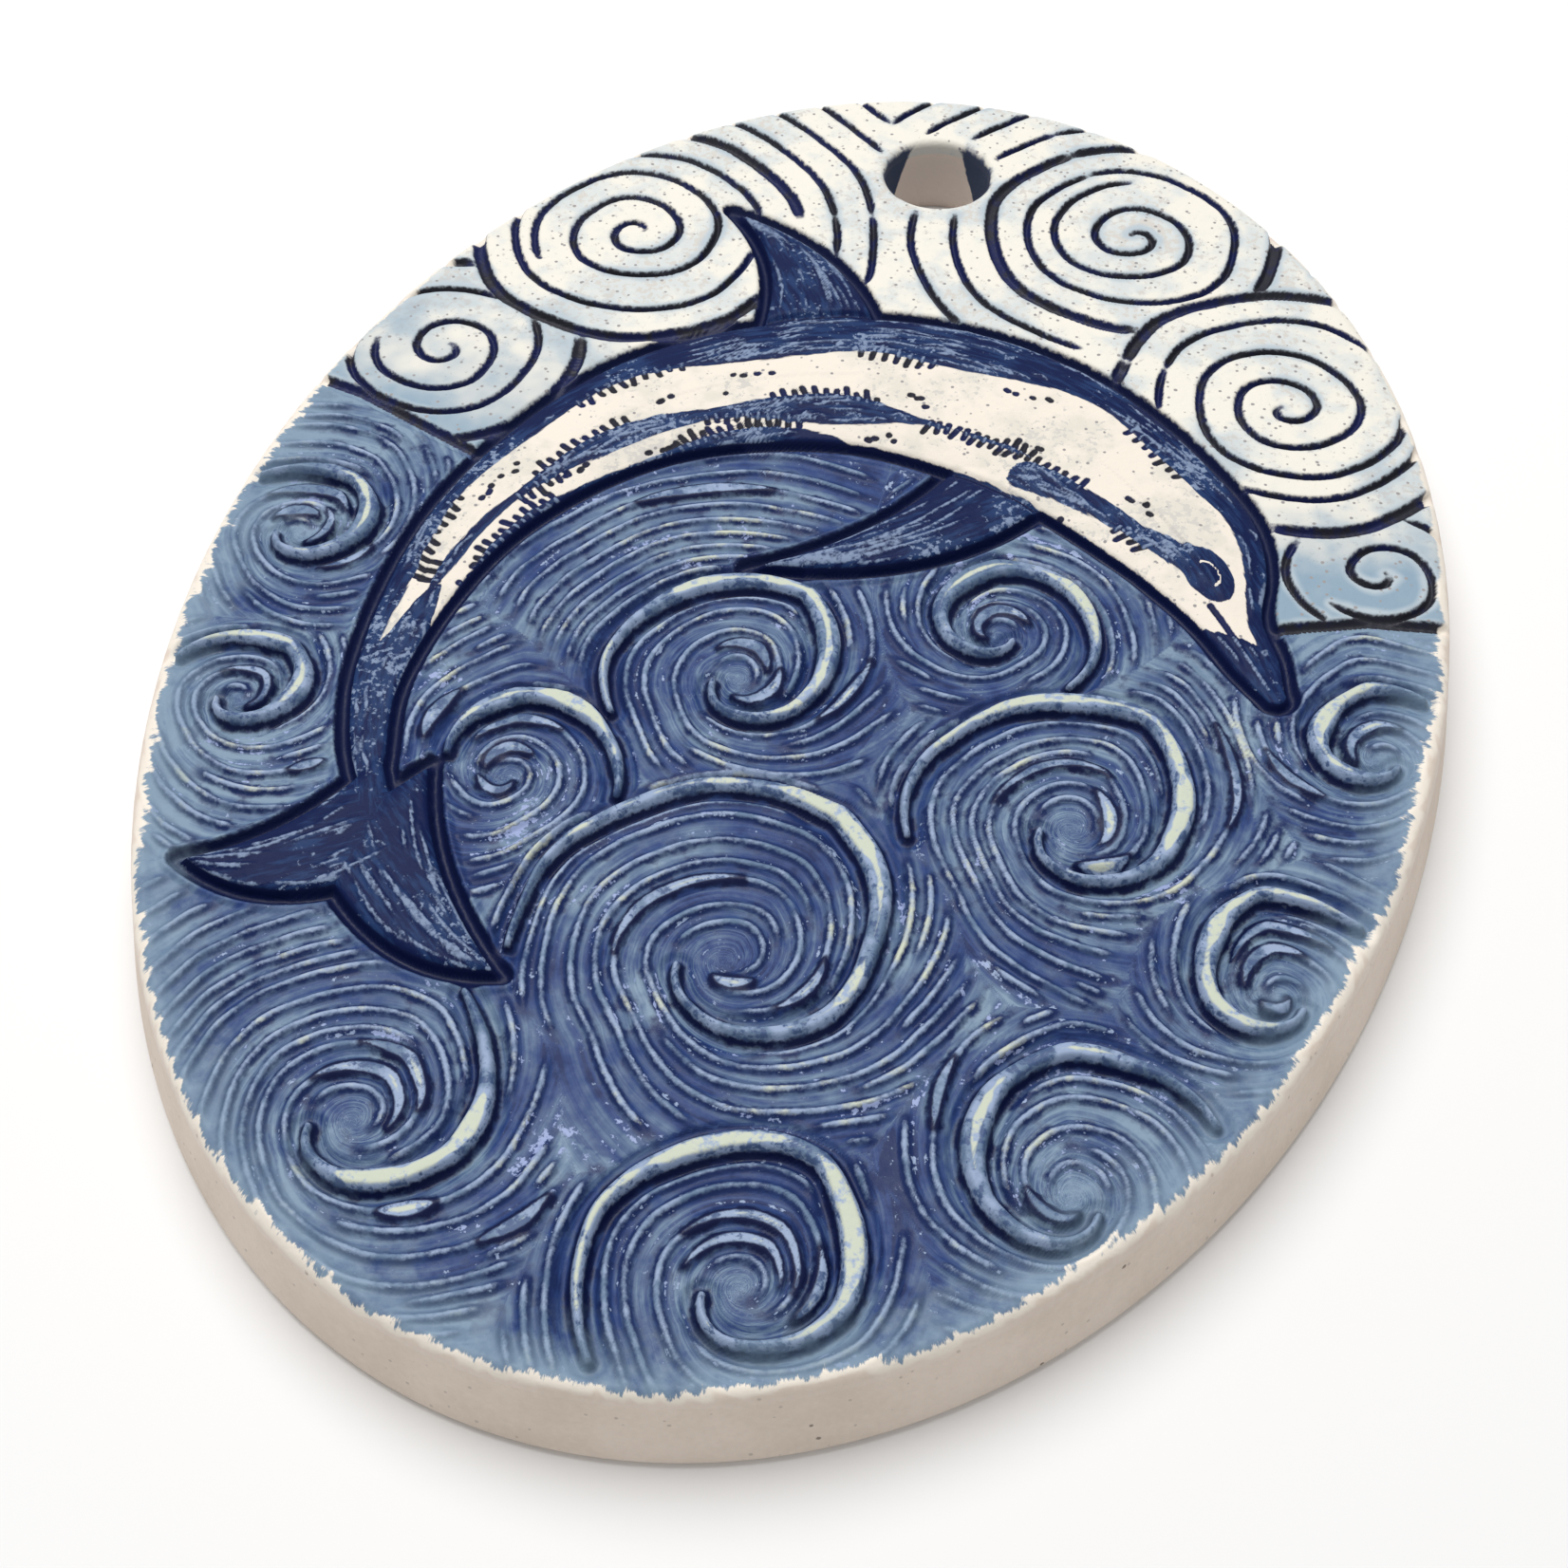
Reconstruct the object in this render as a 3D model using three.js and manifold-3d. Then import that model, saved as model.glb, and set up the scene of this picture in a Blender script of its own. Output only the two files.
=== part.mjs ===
// Pottery dolphin ornament: an oval tablet of fired clay with a hanging hole near its top.
// Its face is a pressed relief: scroll clouds above, curling waves below, and a leaping
// dolphin that stands proud of both. Millimetres, +Z up, face up, origin under the middle.
import * as THREE from 'three';
import { mergeVertices } from 'three/addons/utils/BufferGeometryUtils.js';
import Module from 'manifold-3d';

const wasm = await Module();
wasm.setup();

// Tablet
const tabletHeight = 89;
const tabletWidth = 65.2;
const slabThickness = 4.1;
const footChamfer = 0.5;
const sideFlare = 0.9;
const ovalSides = 96;

// Relief layer, the pressed upper part of the clay
const grooveDepth = 0.6;
const clayUnderGrooves = 0.3;
const rimRadius = 0.8;
const rimSteps = 3;
const zoneGap = 0.3;

// Hanging hole
const holeDiameter = 6.4;
const holeFromTop = 8.8;
const holeFromMiddle = -2.7;
const holeSoftening = 0.45;
const holeSides = 32;
const holeMargin = 1.3;

// Dolphin
const dolphinOutline = 0.8;
const dolphinWall = 0.7;
const dolphinCrown = 0.85;
const finCrown = 0.4;
const finGap = 0.3;
const bodyStoutness = 0.363;
const finFullWidth = 6;
const finTip = 0.04;
const bodySteps = 44;
const finSteps = 10;

// Cloud scrolls and wave arms
const grooveWidth = 0.7;
const cloudPitch = 2.3;
const cloudRings = 4;
const cloudCover = 1.75;
const waveTightness = 0.4;
const waveArms = 7;
const waveGrooves = 3;
const waveStart = 3.9;
const waveEnd = -2.7;
const rollAngle = 1.3;
const crestWidth = 1.0;
const crestTip = 0.3;
const crestHeight = 0.3;
const crestWall = 0.12;

// Worked out from the sizes above
const reliefThickness = grooveDepth + clayUnderGrooves;
const faceLevel = slabThickness + reliefThickness;
const grooveFloor = slabThickness + clayUnderGrooves;
const faceHalfWidth = tabletWidth / 2 - sideFlare;
const faceHalfHeight = tabletHeight / 2 - sideFlare;
const usualSlimness = 1.375;
const drawingScale = Math.min(faceHalfWidth, faceHalfHeight / usualSlimness);
const bodyFullWidth = bodyStoutness * drawingScale;
const hole = new THREE.Vector2(holeFromMiddle, tabletHeight / 2 - holeFromTop);
const above = faceLevel + 5;

// A place on the face, as shares of its half width and half height
const onFace = ([u, v]) => new THREE.Vector2(u * faceHalfWidth, v * faceHalfHeight);

// Closed solid through a stack of rings that all have the same number of points
function loft(rings) {
  const count = rings[0].length;
  const positions = rings.flat().flatMap((p) => [p.x, p.y, p.z]);
  const index = [];
  for (let r = 0; r + 1 < rings.length; r++) {
    for (let i = 0; i < count; i++) {
      const a = r * count + i;
      const b = r * count + (i + 1) % count;
      index.push(a, b, b + count, a, b + count, a + count);
    }
  }
  const last = (rings.length - 1) * count;
  for (let i = 1; i + 1 < count; i++) {
    index.push(0, i + 1, i);
    index.push(last, last + i, last + i + 1);
  }
  const geometry = new THREE.BufferGeometry();
  geometry.setAttribute('position', new THREE.Float32BufferAttribute(positions, 3));
  geometry.setIndex(index);
  return geometry;
}

// three.js geometry to a solid that can be joined and cut, and back again
function solid(geometry) {
  const bare = geometry.clone();
  bare.deleteAttribute('normal');
  bare.deleteAttribute('uv');
  const merged = mergeVertices(bare, 1e-4);
  const vertProperties = new Float32Array(merged.attributes.position.array);
  const triVerts = new Uint32Array(merged.index.array);
  return new wasm.Manifold(new wasm.Mesh({ numProp: 3, vertProperties, triVerts }));
}

function geometryOf(manifold) {
  const { vertProperties, triVerts, numProp } = manifold.getMesh();
  const geometry = new THREE.BufferGeometry();
  const positions = new Float32Array(vertProperties.length / numProp * 3);
  for (let i = 0; i < positions.length / 3; i++) {
    for (let k = 0; k < 3; k++) positions[i * 3 + k] = vertProperties[i * numProp + k];
  }
  geometry.setAttribute('position', new THREE.BufferAttribute(positions, 3));
  geometry.setIndex([...triVerts]);
  geometry.computeVertexNormals();
  return geometry;
}

// Flat outline pushed up from one level to another
function prism(outline, from, to) {
  const flat = new THREE.Shape(outline);
  const geometry = new THREE.ExtrudeGeometry(flat, { depth: to - from, bevelEnabled: false });
  return solid(geometry.translate(0, 0, from));
}

// Oval stack: each level is given as [distance inside the base outline, height]
function ovalSolid(levels) {
  return solid(loft(levels.map(([inset, z]) => {
    const ring = [];
    for (let i = 0; i < ovalSides; i++) {
      const angle = i / ovalSides * 2 * Math.PI;
      const x = (tabletWidth / 2 - inset) * Math.cos(angle);
      const y = (tabletHeight / 2 - inset) * Math.sin(angle);
      ring.push(new THREE.Vector3(x, y, z));
    }
    return ring;
  })));
}

// Smooth value along a list of [share of the length, value] knots
function along(knots, times = 1) {
  const shares = knots.map((k) => k[0]);
  const values = knots.map((k) => k[1] * times);
  const spline = new THREE.CubicInterpolant(shares, values, 1);
  return (share) => spline.evaluate(share)[0];
}

// Strip that follows a spine, with its own width to the left and to the right
function spineStrip(path, steps, fullWidth, left, right = left) {
  const edges = (share, grow) => {
    const here = path.getPointAt(share);
    const ahead = path.getTangentAt(share);
    const side = new THREE.Vector2(-ahead.y, ahead.x);
    here.addScaledVector(ahead, share === 0 ? -grow : share === 1 ? grow : 0);
    return [
      here.clone().addScaledVector(side, left(share) + grow),
      here.clone().addScaledVector(side, -right(share) - grow),
    ];
  };
  return { edges, steps, fullWidth };
}

// Fin between two curved edges that both run from its root to its tip
function fin(leftCurve, rightCurve) {
  const left = new THREE.QuadraticBezierCurve(...leftCurve.map(onFace));
  const right = new THREE.QuadraticBezierCurve(...rightCurve.map(onFace));
  const edges = (share, grow) => [[left, grow], [right, -grow]].map(([curve, out]) => {
    const t = share * (1 - finTip);
    const ahead = curve.getTangent(t);
    const side = new THREE.Vector2(-ahead.y, ahead.x);
    const point = curve.getPoint(t).addScaledVector(side, out);
    return point.addScaledVector(ahead, share === 0 ? -grow : share === 1 ? grow : 0);
  });
  return { edges, steps: finSteps, fullWidth: finFullWidth };
}

function stripEdges(strip, grow = 0) {
  const pairs = [];
  for (let i = 0; i <= strip.steps; i++) pairs.push(strip.edges(i / strip.steps, grow));
  return pairs;
}

function stripOutline(strip, grow = 0) {
  const pairs = stripEdges(strip, grow);
  return [...pairs.map((pair) => pair[1]), ...pairs.map((pair) => pair[0]).reverse()];
}

// Domed strip on a flat seat: upright edges, then a rounded back across the width
function domedStrip(strip, seat, wall, crown, across = 6) {
  return solid(loft(stripEdges(strip).map(([l, r]) => {
    const rise = crown * Math.min(1, l.distanceTo(r) / strip.fullWidth);
    const ring = [new THREE.Vector3(r.x, r.y, seat), new THREE.Vector3(l.x, l.y, seat)];
    for (let k = 0; k <= across; k++) {
      const t = 2 * k / across - 1;
      const point = l.clone().lerp(r, (t + 1) / 2);
      const z = seat + wall + rise * Math.sqrt(Math.max(0, 1 - t * t));
      ring.push(new THREE.Vector3(point.x, point.y, z));
    }
    return ring;
  })));
}

const inside = (outline, p) => {
  let odd = false;
  for (let i = 0, j = outline.length - 1; i < outline.length; j = i++) {
    const a = outline[i];
    const b = outline[j];
    if ((a.y > p.y) !== (b.y > p.y) && p.x < (b.x - a.x) * (p.y - a.y) / (b.y - a.y) + a.x) {
      odd = !odd;
    }
  }
  return odd;
};

// Dolphin: the spine runs from the tail notch, over the arched back, to the beak
const spineOnFace = [
  [-0.51, -0.45], [-0.61, -0.25], [-0.58, 0.02], [-0.39, 0.25],
  [-0.07, 0.37], [0.25, 0.35], [0.53, 0.21], [0.74, 0.00],
];
const spine = new THREE.SplineCurve(spineOnFace.map(onFace));
const backWidth = along([[0, 0.02], [0.04, 0.08], [0.1, 0.115], [0.3, 0.26], [0.5, 0.44], [0.66, 0.5], [0.8, 0.44],
  [0.87, 0.38], [0.905, 0.28], [0.935, 0.155], [0.975, 0.115], [1, 0.065]], bodyFullWidth);
const bellyWidth = along([[0, 0.02], [0.04, 0.08], [0.1, 0.11], [0.3, 0.24], [0.5, 0.41], [0.68, 0.48], [0.82, 0.365],
  [0.88, 0.27], [0.935, 0.165], [0.975, 0.115], [1, 0.065]], bodyFullWidth);
const body = spineStrip(spine, bodySteps, bodyFullWidth, backWidth, bellyWidth);

// Fins: curves for the left and the right edge, looking from the root to the swept tip
const dorsalFin = fin(
  [[-0.29, 0.33], [-0.24, 0.55], [-0.43, 0.66]], [[-0.02, 0.38], [-0.11, 0.62], [-0.43, 0.66]]);
const flipper = fin(
  [[0.34, 0.26], [0.22, 0.05], [-0.13, 0.02]], [[0.16, 0.30], [0.10, 0.13], [-0.13, 0.02]]);
const leftFluke = fin(
  [[-0.42, -0.50], [-0.58, -0.62], [-0.75, -0.56]], [[-0.54, -0.36], [-0.60, -0.50], [-0.75, -0.56]]);
const rightFluke = fin(
  [[-0.46, -0.36], [-0.40, -0.50], [-0.22, -0.60]], [[-0.58, -0.50], [-0.40, -0.65], [-0.22, -0.60]]);
const fins = [dorsalFin, flipper, leftFluke, rightFluke];

// The pocket that the dolphin lies in leaves a deep outline all round it
const dolphinOutlines = [body, ...fins].map((strip) => stripOutline(strip, dolphinOutline));
const underDolphin = (p) => dolphinOutlines.some((outline) => inside(outline, p));
const bodyClearance = prism(stripOutline(body, finGap), 0, above);

// The horizon follows the spine, so sky lies outside the arch and sea inside it
const horizonLeft = [[-1.3, 0.22], [-0.9, 0.17]];
const horizonRight = [[0.86, 0.14], [1.3, 0.20]];
const horizonSpine = spine.getPoints(24).filter((p) => p.y > 0.08 * faceHalfHeight);
const horizon = [...horizonLeft.map(onFace), ...horizonSpine, ...horizonRight.map(onFace)];
const skyEdge = [...horizon, onFace([1.3, 1.3]), onFace([-1.3, 1.3])];
const inSky = (p) => inside(skyEdge, p);

// Tapered groove along a list of points, cut down to the groove floor
function grooveTool(points) {
  const half = along([[0, 0.12], [0.2, grooveWidth / 2], [0.75, grooveWidth / 2], [1, 0.12]]);
  const path = new THREE.SplineCurve(points);
  return prism(stripOutline(spineStrip(path, points.length, grooveWidth, half)), grooveFloor, above);
}

// Runs of neighbouring points that pass a test, each at least a few points long
function runs(points, keep, least = 4) {
  const found = [];
  let run = [];
  for (const p of [...points, null]) {
    if (p && keep(p)) {
      run.push(p);
    } else {
      if (run.length >= least) found.push(run);
      run = [];
    }
  }
  return found;
}

const onTablet = (p) => (p.x / faceHalfWidth) ** 2 + (p.y / faceHalfHeight) ** 2 < 0.94;
const clearOfHole = (p) => p.distanceTo(hole) > holeDiameter / 2 + holeMargin;

// Cloud scrolls, front one first: a spiral eye with rings round it. Radii are shares of the drawing.
const clouds = [
  { at: [0.66, 0.48], radius: 0.185, hand: 1, start: 3.0 },
  { at: [-0.58, 0.58], radius: 0.185, hand: 1, start: 0.4 },
  { at: [0.31, 0.76], radius: 0.15, hand: -1, start: 2.2 },
  { at: [-0.80, 0.28], radius: 0.12, hand: -1, start: 1.0 },
  { at: [0.86, 0.22], radius: 0.1, hand: -1, start: 0.2 },
].map((cloud) => ({ ...cloud, at: onFace(cloud.at), radius: cloud.radius * drawingScale }));

// A point belongs to the frontmost cloud whose rings cover it, or else to the nearest cloud
function cloudAt(p) {
  const gap = (cloud) => p.distanceTo(cloud.at) - cloud.radius;
  const front = clouds.find((cloud) => gap(cloud) < cloudCover * cloudPitch);
  return front ?? clouds.reduce((best, cloud) => (gap(cloud) < gap(best) ? cloud : best));
}

function spiralEye({ at, radius, hand, start }) {
  const turns = radius / cloudPitch;
  const steps = Math.round(turns * 12);
  const points = [];
  for (let i = 0; i <= steps; i++) {
    const share = i / steps;
    const angle = start + hand * share * turns * 2 * Math.PI;
    const r = 0.25 * cloudPitch + radius * share;
    points.push(new THREE.Vector2(at.x + r * Math.cos(angle), at.y + r * Math.sin(angle)));
  }
  return points;
}

function ringAround({ at, radius, start }, k) {
  const r = radius + (k + 0.6) * cloudPitch;
  const steps = Math.round(2 * Math.PI * r / 2.3);
  const points = [];
  for (let i = 0; i <= steps; i++) {
    const angle = start + i / steps * 2 * Math.PI;
    points.push(new THREE.Vector2(at.x + r * Math.cos(angle), at.y + r * Math.sin(angle)));
  }
  return points;
}

function skyGrooves() {
  const tools = [];
  const keep = (p) => inSky(p) && onTablet(p) && clearOfHole(p) && !underDolphin(p);
  for (const cloud of clouds) {
    const mine = (p) => cloudAt(p) === cloud;
    for (const run of runs(spiralEye(cloud), keep)) tools.push(grooveTool(run));
    for (let k = 0; k < cloudRings; k++) {
      for (const run of runs(ringAround(cloud, k), (p) => keep(p) && mine(p))) {
        tools.push(grooveTool(run));
      }
    }
  }
  return tools;
}

// Waves that overlap, front one first. Arms run as rings round the back of each wave, then
// roll in to its eye; the outermost is a raised crest. Sizes are shares of the drawing.
const waves = [
  { at: [-0.33, -0.80], size: 0.25, hand: 1 }, { at: [0.24, -0.86], size: 0.21, hand: 1 },
  { at: [-0.80, -0.34], size: 0.13, hand: 1 }, { at: [0.62, -0.68], size: 0.225, hand: -1 },
  { at: [0.07, -0.52], size: 0.31, hand: 1 }, { at: [0.83, -0.40], size: 0.175, hand: -1 },
  { at: [-0.34, -0.36], size: 0.165, hand: -1 }, { at: [0.49, -0.25], size: 0.245, hand: 1 },
  { at: [-0.07, -0.15], size: 0.205, hand: 1 }, { at: [0.30, 0.00], size: 0.15, hand: -1 },
  { at: [-0.86, -0.08], size: 0.15, hand: 1 }, { at: [0.91, -0.06], size: 0.145, hand: -1 },
].map((wave) => ({ ...wave, at: onFace(wave.at), size: wave.size * drawingScale }));

function waveArm({ at, size, hand }, arm, from, to, stepAngle) {
  const start = size * Math.exp(-2 * Math.PI * waveTightness * arm / waveArms);
  const steps = Math.round((from - to) / stepAngle);
  const points = [];
  for (let i = 0; i <= steps; i++) {
    const angle = from + (to - from) * i / steps;
    const r = start * Math.exp(Math.min(0, waveTightness * (angle - rollAngle)));
    points.push(new THREE.Vector2(at.x + hand * r * Math.cos(angle), at.y + r * Math.sin(angle)));
  }
  return points;
}

// A point belongs to the frontmost wave whose disc covers it, or else to the nearest disc. A disc
// ends one crest's width outside its crest, which keeps the crests behind it clear.
function waveAt(p) {
  const share = (wave) => p.distanceTo(wave.at) / (wave.size + crestWidth);
  const front = waves.find((wave) => share(wave) < 1);
  return front ?? waves.reduce((best, wave) => (share(wave) < share(best) ? wave : best));
}
const inSea = (p) => !inSky(p) && onTablet(p) && !underDolphin(p);

function seaGrooves() {
  const tools = [];
  for (const wave of waves) {
    const keep = (p) => inSea(p) && waveAt(p) === wave;
    for (let arm = -1; arm < waveGrooves; arm++) {
      if (arm === 0) continue;
      const points = waveArm(wave, arm, waveStart, waveEnd, arm < 0 ? 0.28 : 0.42);
      for (const run of runs(points, keep)) tools.push(grooveTool(run));
    }
  }
  return tools;
}

function crest(wave) {
  const keep = (p) => inSea(p) && waveAt(p) === wave;
  const found = runs(waveArm(wave, 0, waveStart, waveEnd, 0.25), keep);
  const longest = found.reduce((best, run) => (run.length > best.length ? run : best));
  const path = new THREE.SplineCurve(longest);
  const half = along([[0, crestTip], [0.3, 0.8 * crestWidth], [0.65, crestWidth], [1, crestTip]], 0.5);
  const strip = spineStrip(path, Math.round(path.getLength() / 1.2), crestWidth, half);
  return domedStrip(strip, faceLevel, crestWall, crestHeight - crestWall, 4);
}

// Materials, one colour each for fired clay and the glazes
const finish = (color, roughness) => new THREE.MeshStandardMaterial({ color, roughness, metalness: 0 });
const bareClay = () => finish(0xd8cabd, 0.9);
const skyGlaze = () => finish(0xdfe3e0, 0.55);
const seaGlaze = () => finish(0x3f6391, 0.45);
const creamGlaze = () => finish(0xe8dccb, 0.5);
const navyGlaze = () => finish(0x25376b, 0.4);

const group = new THREE.Group();
function addPart(name, manifold, material) {
  const mesh = new THREE.Mesh(geometryOf(manifold), material);
  mesh.name = name;
  group.add(mesh);
}

// Tablet with its hole
const side = sideFlare * slabThickness / faceLevel;
const holeGeometry = new THREE.CylinderGeometry(holeDiameter / 2, holeDiameter / 2, 2 * above, holeSides);
const holeTool = solid(holeGeometry.rotateX(Math.PI / 2).translate(hole.x, hole.y, 0));
const softGeometry = new THREE.CylinderGeometry(
  holeDiameter / 2 + 2 * holeSoftening, holeDiameter / 2, 2 * holeSoftening, holeSides);
const softTool = solid(softGeometry.rotateX(Math.PI / 2).translate(hole.x, hole.y, faceLevel));
const tablet = ovalSolid([[footChamfer, 0], [0, footChamfer], [side, slabThickness]]).subtract(holeTool);
addPart('tablet', tablet, bareClay());

// Relief plate with its softly rounded rim, split into sky and sea
const rim = [[side, slabThickness]];
for (let i = 0; i <= rimSteps; i++) {
  const angle = i / rimSteps * Math.PI / 2;
  const inset = sideFlare + rimRadius * (1 - Math.cos(angle));
  rim.push([inset, faceLevel - rimRadius * (1 - Math.sin(angle))]);
}
const pockets = dolphinOutlines.map((outline) => prism(outline, slabThickness - 1, above));
const plate = pockets.reduce((rest, pocket) => rest.subtract(pocket), ovalSolid(rim));
const shifted = (dy) => skyEdge.map((p) => new THREE.Vector2(p.x, p.y + dy));
const skyPlate = plate.intersect(prism(shifted(zoneGap / 2), 0, above)).subtract(holeTool).subtract(softTool);
const seaPlate = plate.subtract(prism(shifted(-zoneGap / 2), 0, above));
addPart('sky_relief', skyGrooves().reduce((rest, tool) => rest.subtract(tool), skyPlate), skyGlaze());
addPart('sea_relief', seaGrooves().reduce((rest, tool) => rest.subtract(tool), seaPlate), seaGlaze());

// Dolphin
addPart('dolphin_body', domedStrip(body, slabThickness, dolphinWall, dolphinCrown), creamGlaze());
const finSolid = (strip) => domedStrip(strip, slabThickness, dolphinWall, finCrown);
addPart('dorsal_fin', finSolid(dorsalFin).subtract(bodyClearance), navyGlaze());
addPart('flipper', finSolid(flipper).subtract(bodyClearance), navyGlaze());
const flukes = finSolid(leftFluke).add(finSolid(rightFluke));
addPart('tail_flukes', flukes.subtract(bodyClearance), navyGlaze());

// Raised wave crests
waves.forEach((wave, i) => addPart(`wave_crest_${i + 1}`, crest(wave), seaGlaze()));

export default group;
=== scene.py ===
import math

import bmesh
import bpy
import numpy as np
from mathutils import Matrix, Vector
from mathutils.geometry import delaunay_2d_cdt


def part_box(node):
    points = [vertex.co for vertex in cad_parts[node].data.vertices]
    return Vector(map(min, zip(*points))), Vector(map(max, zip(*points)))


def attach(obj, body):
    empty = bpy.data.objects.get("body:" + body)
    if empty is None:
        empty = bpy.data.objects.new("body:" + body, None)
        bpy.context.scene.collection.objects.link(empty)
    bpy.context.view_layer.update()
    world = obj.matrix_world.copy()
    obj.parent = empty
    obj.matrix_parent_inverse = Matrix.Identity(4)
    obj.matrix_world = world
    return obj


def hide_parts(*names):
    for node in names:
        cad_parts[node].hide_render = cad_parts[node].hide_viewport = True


bl_info = {
    "name": "Pottery dolphin ornament",
    "version": (1, 0, 0),
    "blender": (4, 5, 0),
    "location": "3D View > Sidebar > Ornament",
    "description": "Glazed clay ornament with a pressed relief of a leaping dolphin",
    "category": "Object",
}

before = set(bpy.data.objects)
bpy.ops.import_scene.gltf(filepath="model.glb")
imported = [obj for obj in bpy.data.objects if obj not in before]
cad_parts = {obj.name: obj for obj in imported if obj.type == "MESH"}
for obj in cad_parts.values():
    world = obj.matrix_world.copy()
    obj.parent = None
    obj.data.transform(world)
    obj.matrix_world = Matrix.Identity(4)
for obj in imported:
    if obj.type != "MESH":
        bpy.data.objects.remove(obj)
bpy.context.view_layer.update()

# All drawing is done in millimetres on the face, and made metres when it becomes a mesh
MM = 0.001

# Tablet, as in the solid model
slab_low, slab_high = np.array(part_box("tablet")) / MM
HALF_WIDTH, HALF_HEIGHT, _ = (slab_high - slab_low) / 2
SLAB_TOP = slab_high[2]
FACE_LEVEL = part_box("sky_relief")[1][2] / MM
SIDE_FLARE = 0.9
FOOT_ROUNDING = 0.5
OUTLINE_STRAY = 0.04
HOLE_RADIUS = 3.2
HOLE_LIP = 0.45
HOLE_FLARE = 0.25
LIP_RADIUS = HOLE_RADIUS + HOLE_LIP
HOLE = np.array([-2.7, HALF_HEIGHT - 8.8])
FACE_HALF = np.array([HALF_WIDTH - SIDE_FLARE, HALF_HEIGHT - SIDE_FLARE])
USUAL_SLIMNESS = 1.375
DRAWING_SCALE = min(FACE_HALF[0], FACE_HALF[1] / USUAL_SLIMNESS)

# Relief heights, measured from the face level
BODY_EDGE = -0.2
BODY_CROWN = 0.8
BODY_FULL_WIDTH = 0.363 * DRAWING_SCALE
FIN_CROWN = 0.4
GROOVE_BED = -0.6
CREST_RISE = 0.3
CREST_BED = -0.42

# Dolphin: the spine runs from the tail notch, over the arched back, to the beak
SPINE = [
    (-0.51, -0.45), (-0.61, -0.25), (-0.58, 0.02), (-0.39, 0.25),
    (-0.07, 0.37), (0.25, 0.35), (0.53, 0.21), (0.74, 0.00),
]
# Half widths towards the back and the belly, as shares of the full width
BACK_WIDTH = [
    (0, 0.02), (0.04, 0.08), (0.1, 0.115), (0.3, 0.26), (0.5, 0.44), (0.66, 0.5),
    (0.8, 0.44), (0.87, 0.38), (0.905, 0.28), (0.935, 0.155), (0.975, 0.115), (1, 0.065),
]
BELLY_WIDTH = [
    (0, 0.02), (0.04, 0.08), (0.1, 0.11), (0.3, 0.24), (0.5, 0.41), (0.68, 0.48),
    (0.82, 0.365), (0.88, 0.27), (0.935, 0.165), (0.975, 0.115), (1, 0.065),
]
# Fins: left edge and right edge, each from the root to the swept tip
FINS = {
    "dorsal_fin": [
        ([(-0.29, 0.33), (-0.24, 0.55), (-0.43, 0.66)], [(-0.02, 0.38), (-0.11, 0.62), (-0.43, 0.66)]),
    ],
    "flipper": [
        ([(0.34, 0.26), (0.22, 0.05), (-0.13, 0.02)], [(0.16, 0.30), (0.10, 0.13), (-0.13, 0.02)]),
    ],
    "tail_flukes": [
        ([(-0.42, -0.50), (-0.58, -0.62), (-0.75, -0.56)], [(-0.54, -0.36), (-0.60, -0.50), (-0.75, -0.56)]),
        ([(-0.46, -0.36), (-0.40, -0.50), (-0.22, -0.60)], [(-0.58, -0.50), (-0.40, -0.65), (-0.22, -0.60)]),
    ],
}

# Eye: place along the spine, dark patch and its reach, a painted highlight (pale glint crescent) and its half
# width, raised bead, and how far marks stay off
EYE_SHARE = 0.893
EYE_PATCH = 1.15
EYE_REACH = 2.4
EYE_GLINT = 0.5
EYE_GLINT_HALF = 0.07
EYE_BEAD = 0.34
EYE_BEAD_RISE = 0.16
EYE_CLEAR = 1.1

TICK_PITCH = 0.62
SCRATCHES = 420
FIN_STREAKS = 26
# How far a carved line strays from the drawn one, slowly and as a tremble
STRAY = 0.14
TREMBLE = 0.02

# Cloud scrolls, front one first: place, radius of the spiral eye, turning hand, start angle
CLOUDS = [
    ((0.66, 0.48), 0.185, 1, 3.0),
    ((-0.58, 0.58), 0.185, 1, 0.4),
    ((0.31, 0.76), 0.15, -1, 2.2),
    ((-0.80, 0.28), 0.12, -1, 1.0),
    ((0.86, 0.22), 0.1, -1, 0.2),
]
CLOUD_PITCH = 2.3
CLOUD_COVER = 1.75
CLOUD_RINGS = 12
BOLD_RING = 1
BOLD_SPREAD = 0.16

# Waves, front one first: place, size, and the hand that they roll to
WAVES = [
    ((-0.33, -0.80), 0.25, 1), ((0.24, -0.86), 0.21, 1),
    ((-0.80, -0.34), 0.13, 1), ((0.62, -0.68), 0.225, -1),
    ((0.07, -0.52), 0.31, 1), ((0.83, -0.40), 0.175, -1),
    ((-0.34, -0.36), 0.165, -1), ((0.49, -0.25), 0.245, 1),
    ((-0.07, -0.15), 0.205, 1), ((0.30, 0.00), 0.15, -1),
    ((-0.86, -0.08), 0.15, 1), ((0.91, -0.06), 0.145, -1),
]
WAVE_TIGHTNESS = 0.4
WAVE_TURN = 7
ROLL_ANGLE = 1.3
WAVE_START = 3.9
CREST_END = -2.7
CREST_WIDTH = 1.0
CREST_TIP = 0.3
# Arms between one turn of an arm and its next, and the angle where each joins the arm so many further in
ARMS_PER_TURN = 4
ARM_START = ROLL_ANGLE + 2 * math.pi * (1 - ARMS_PER_TURN / WAVE_TURN)
# How near to the eye the arms run: those drawn between others stop sooner, so they never clog
ARM_STOPS = [(4.0, 0.5), (2.0, 1.2), (1.0, 2.3), (0.5, 4.4), (0.25, 8.4)]
FARTHEST_ARM = 30
FOAM_ARMS = (-2, -1, 1, 2, -3, 3)
STREAKS = 3.6

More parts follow.
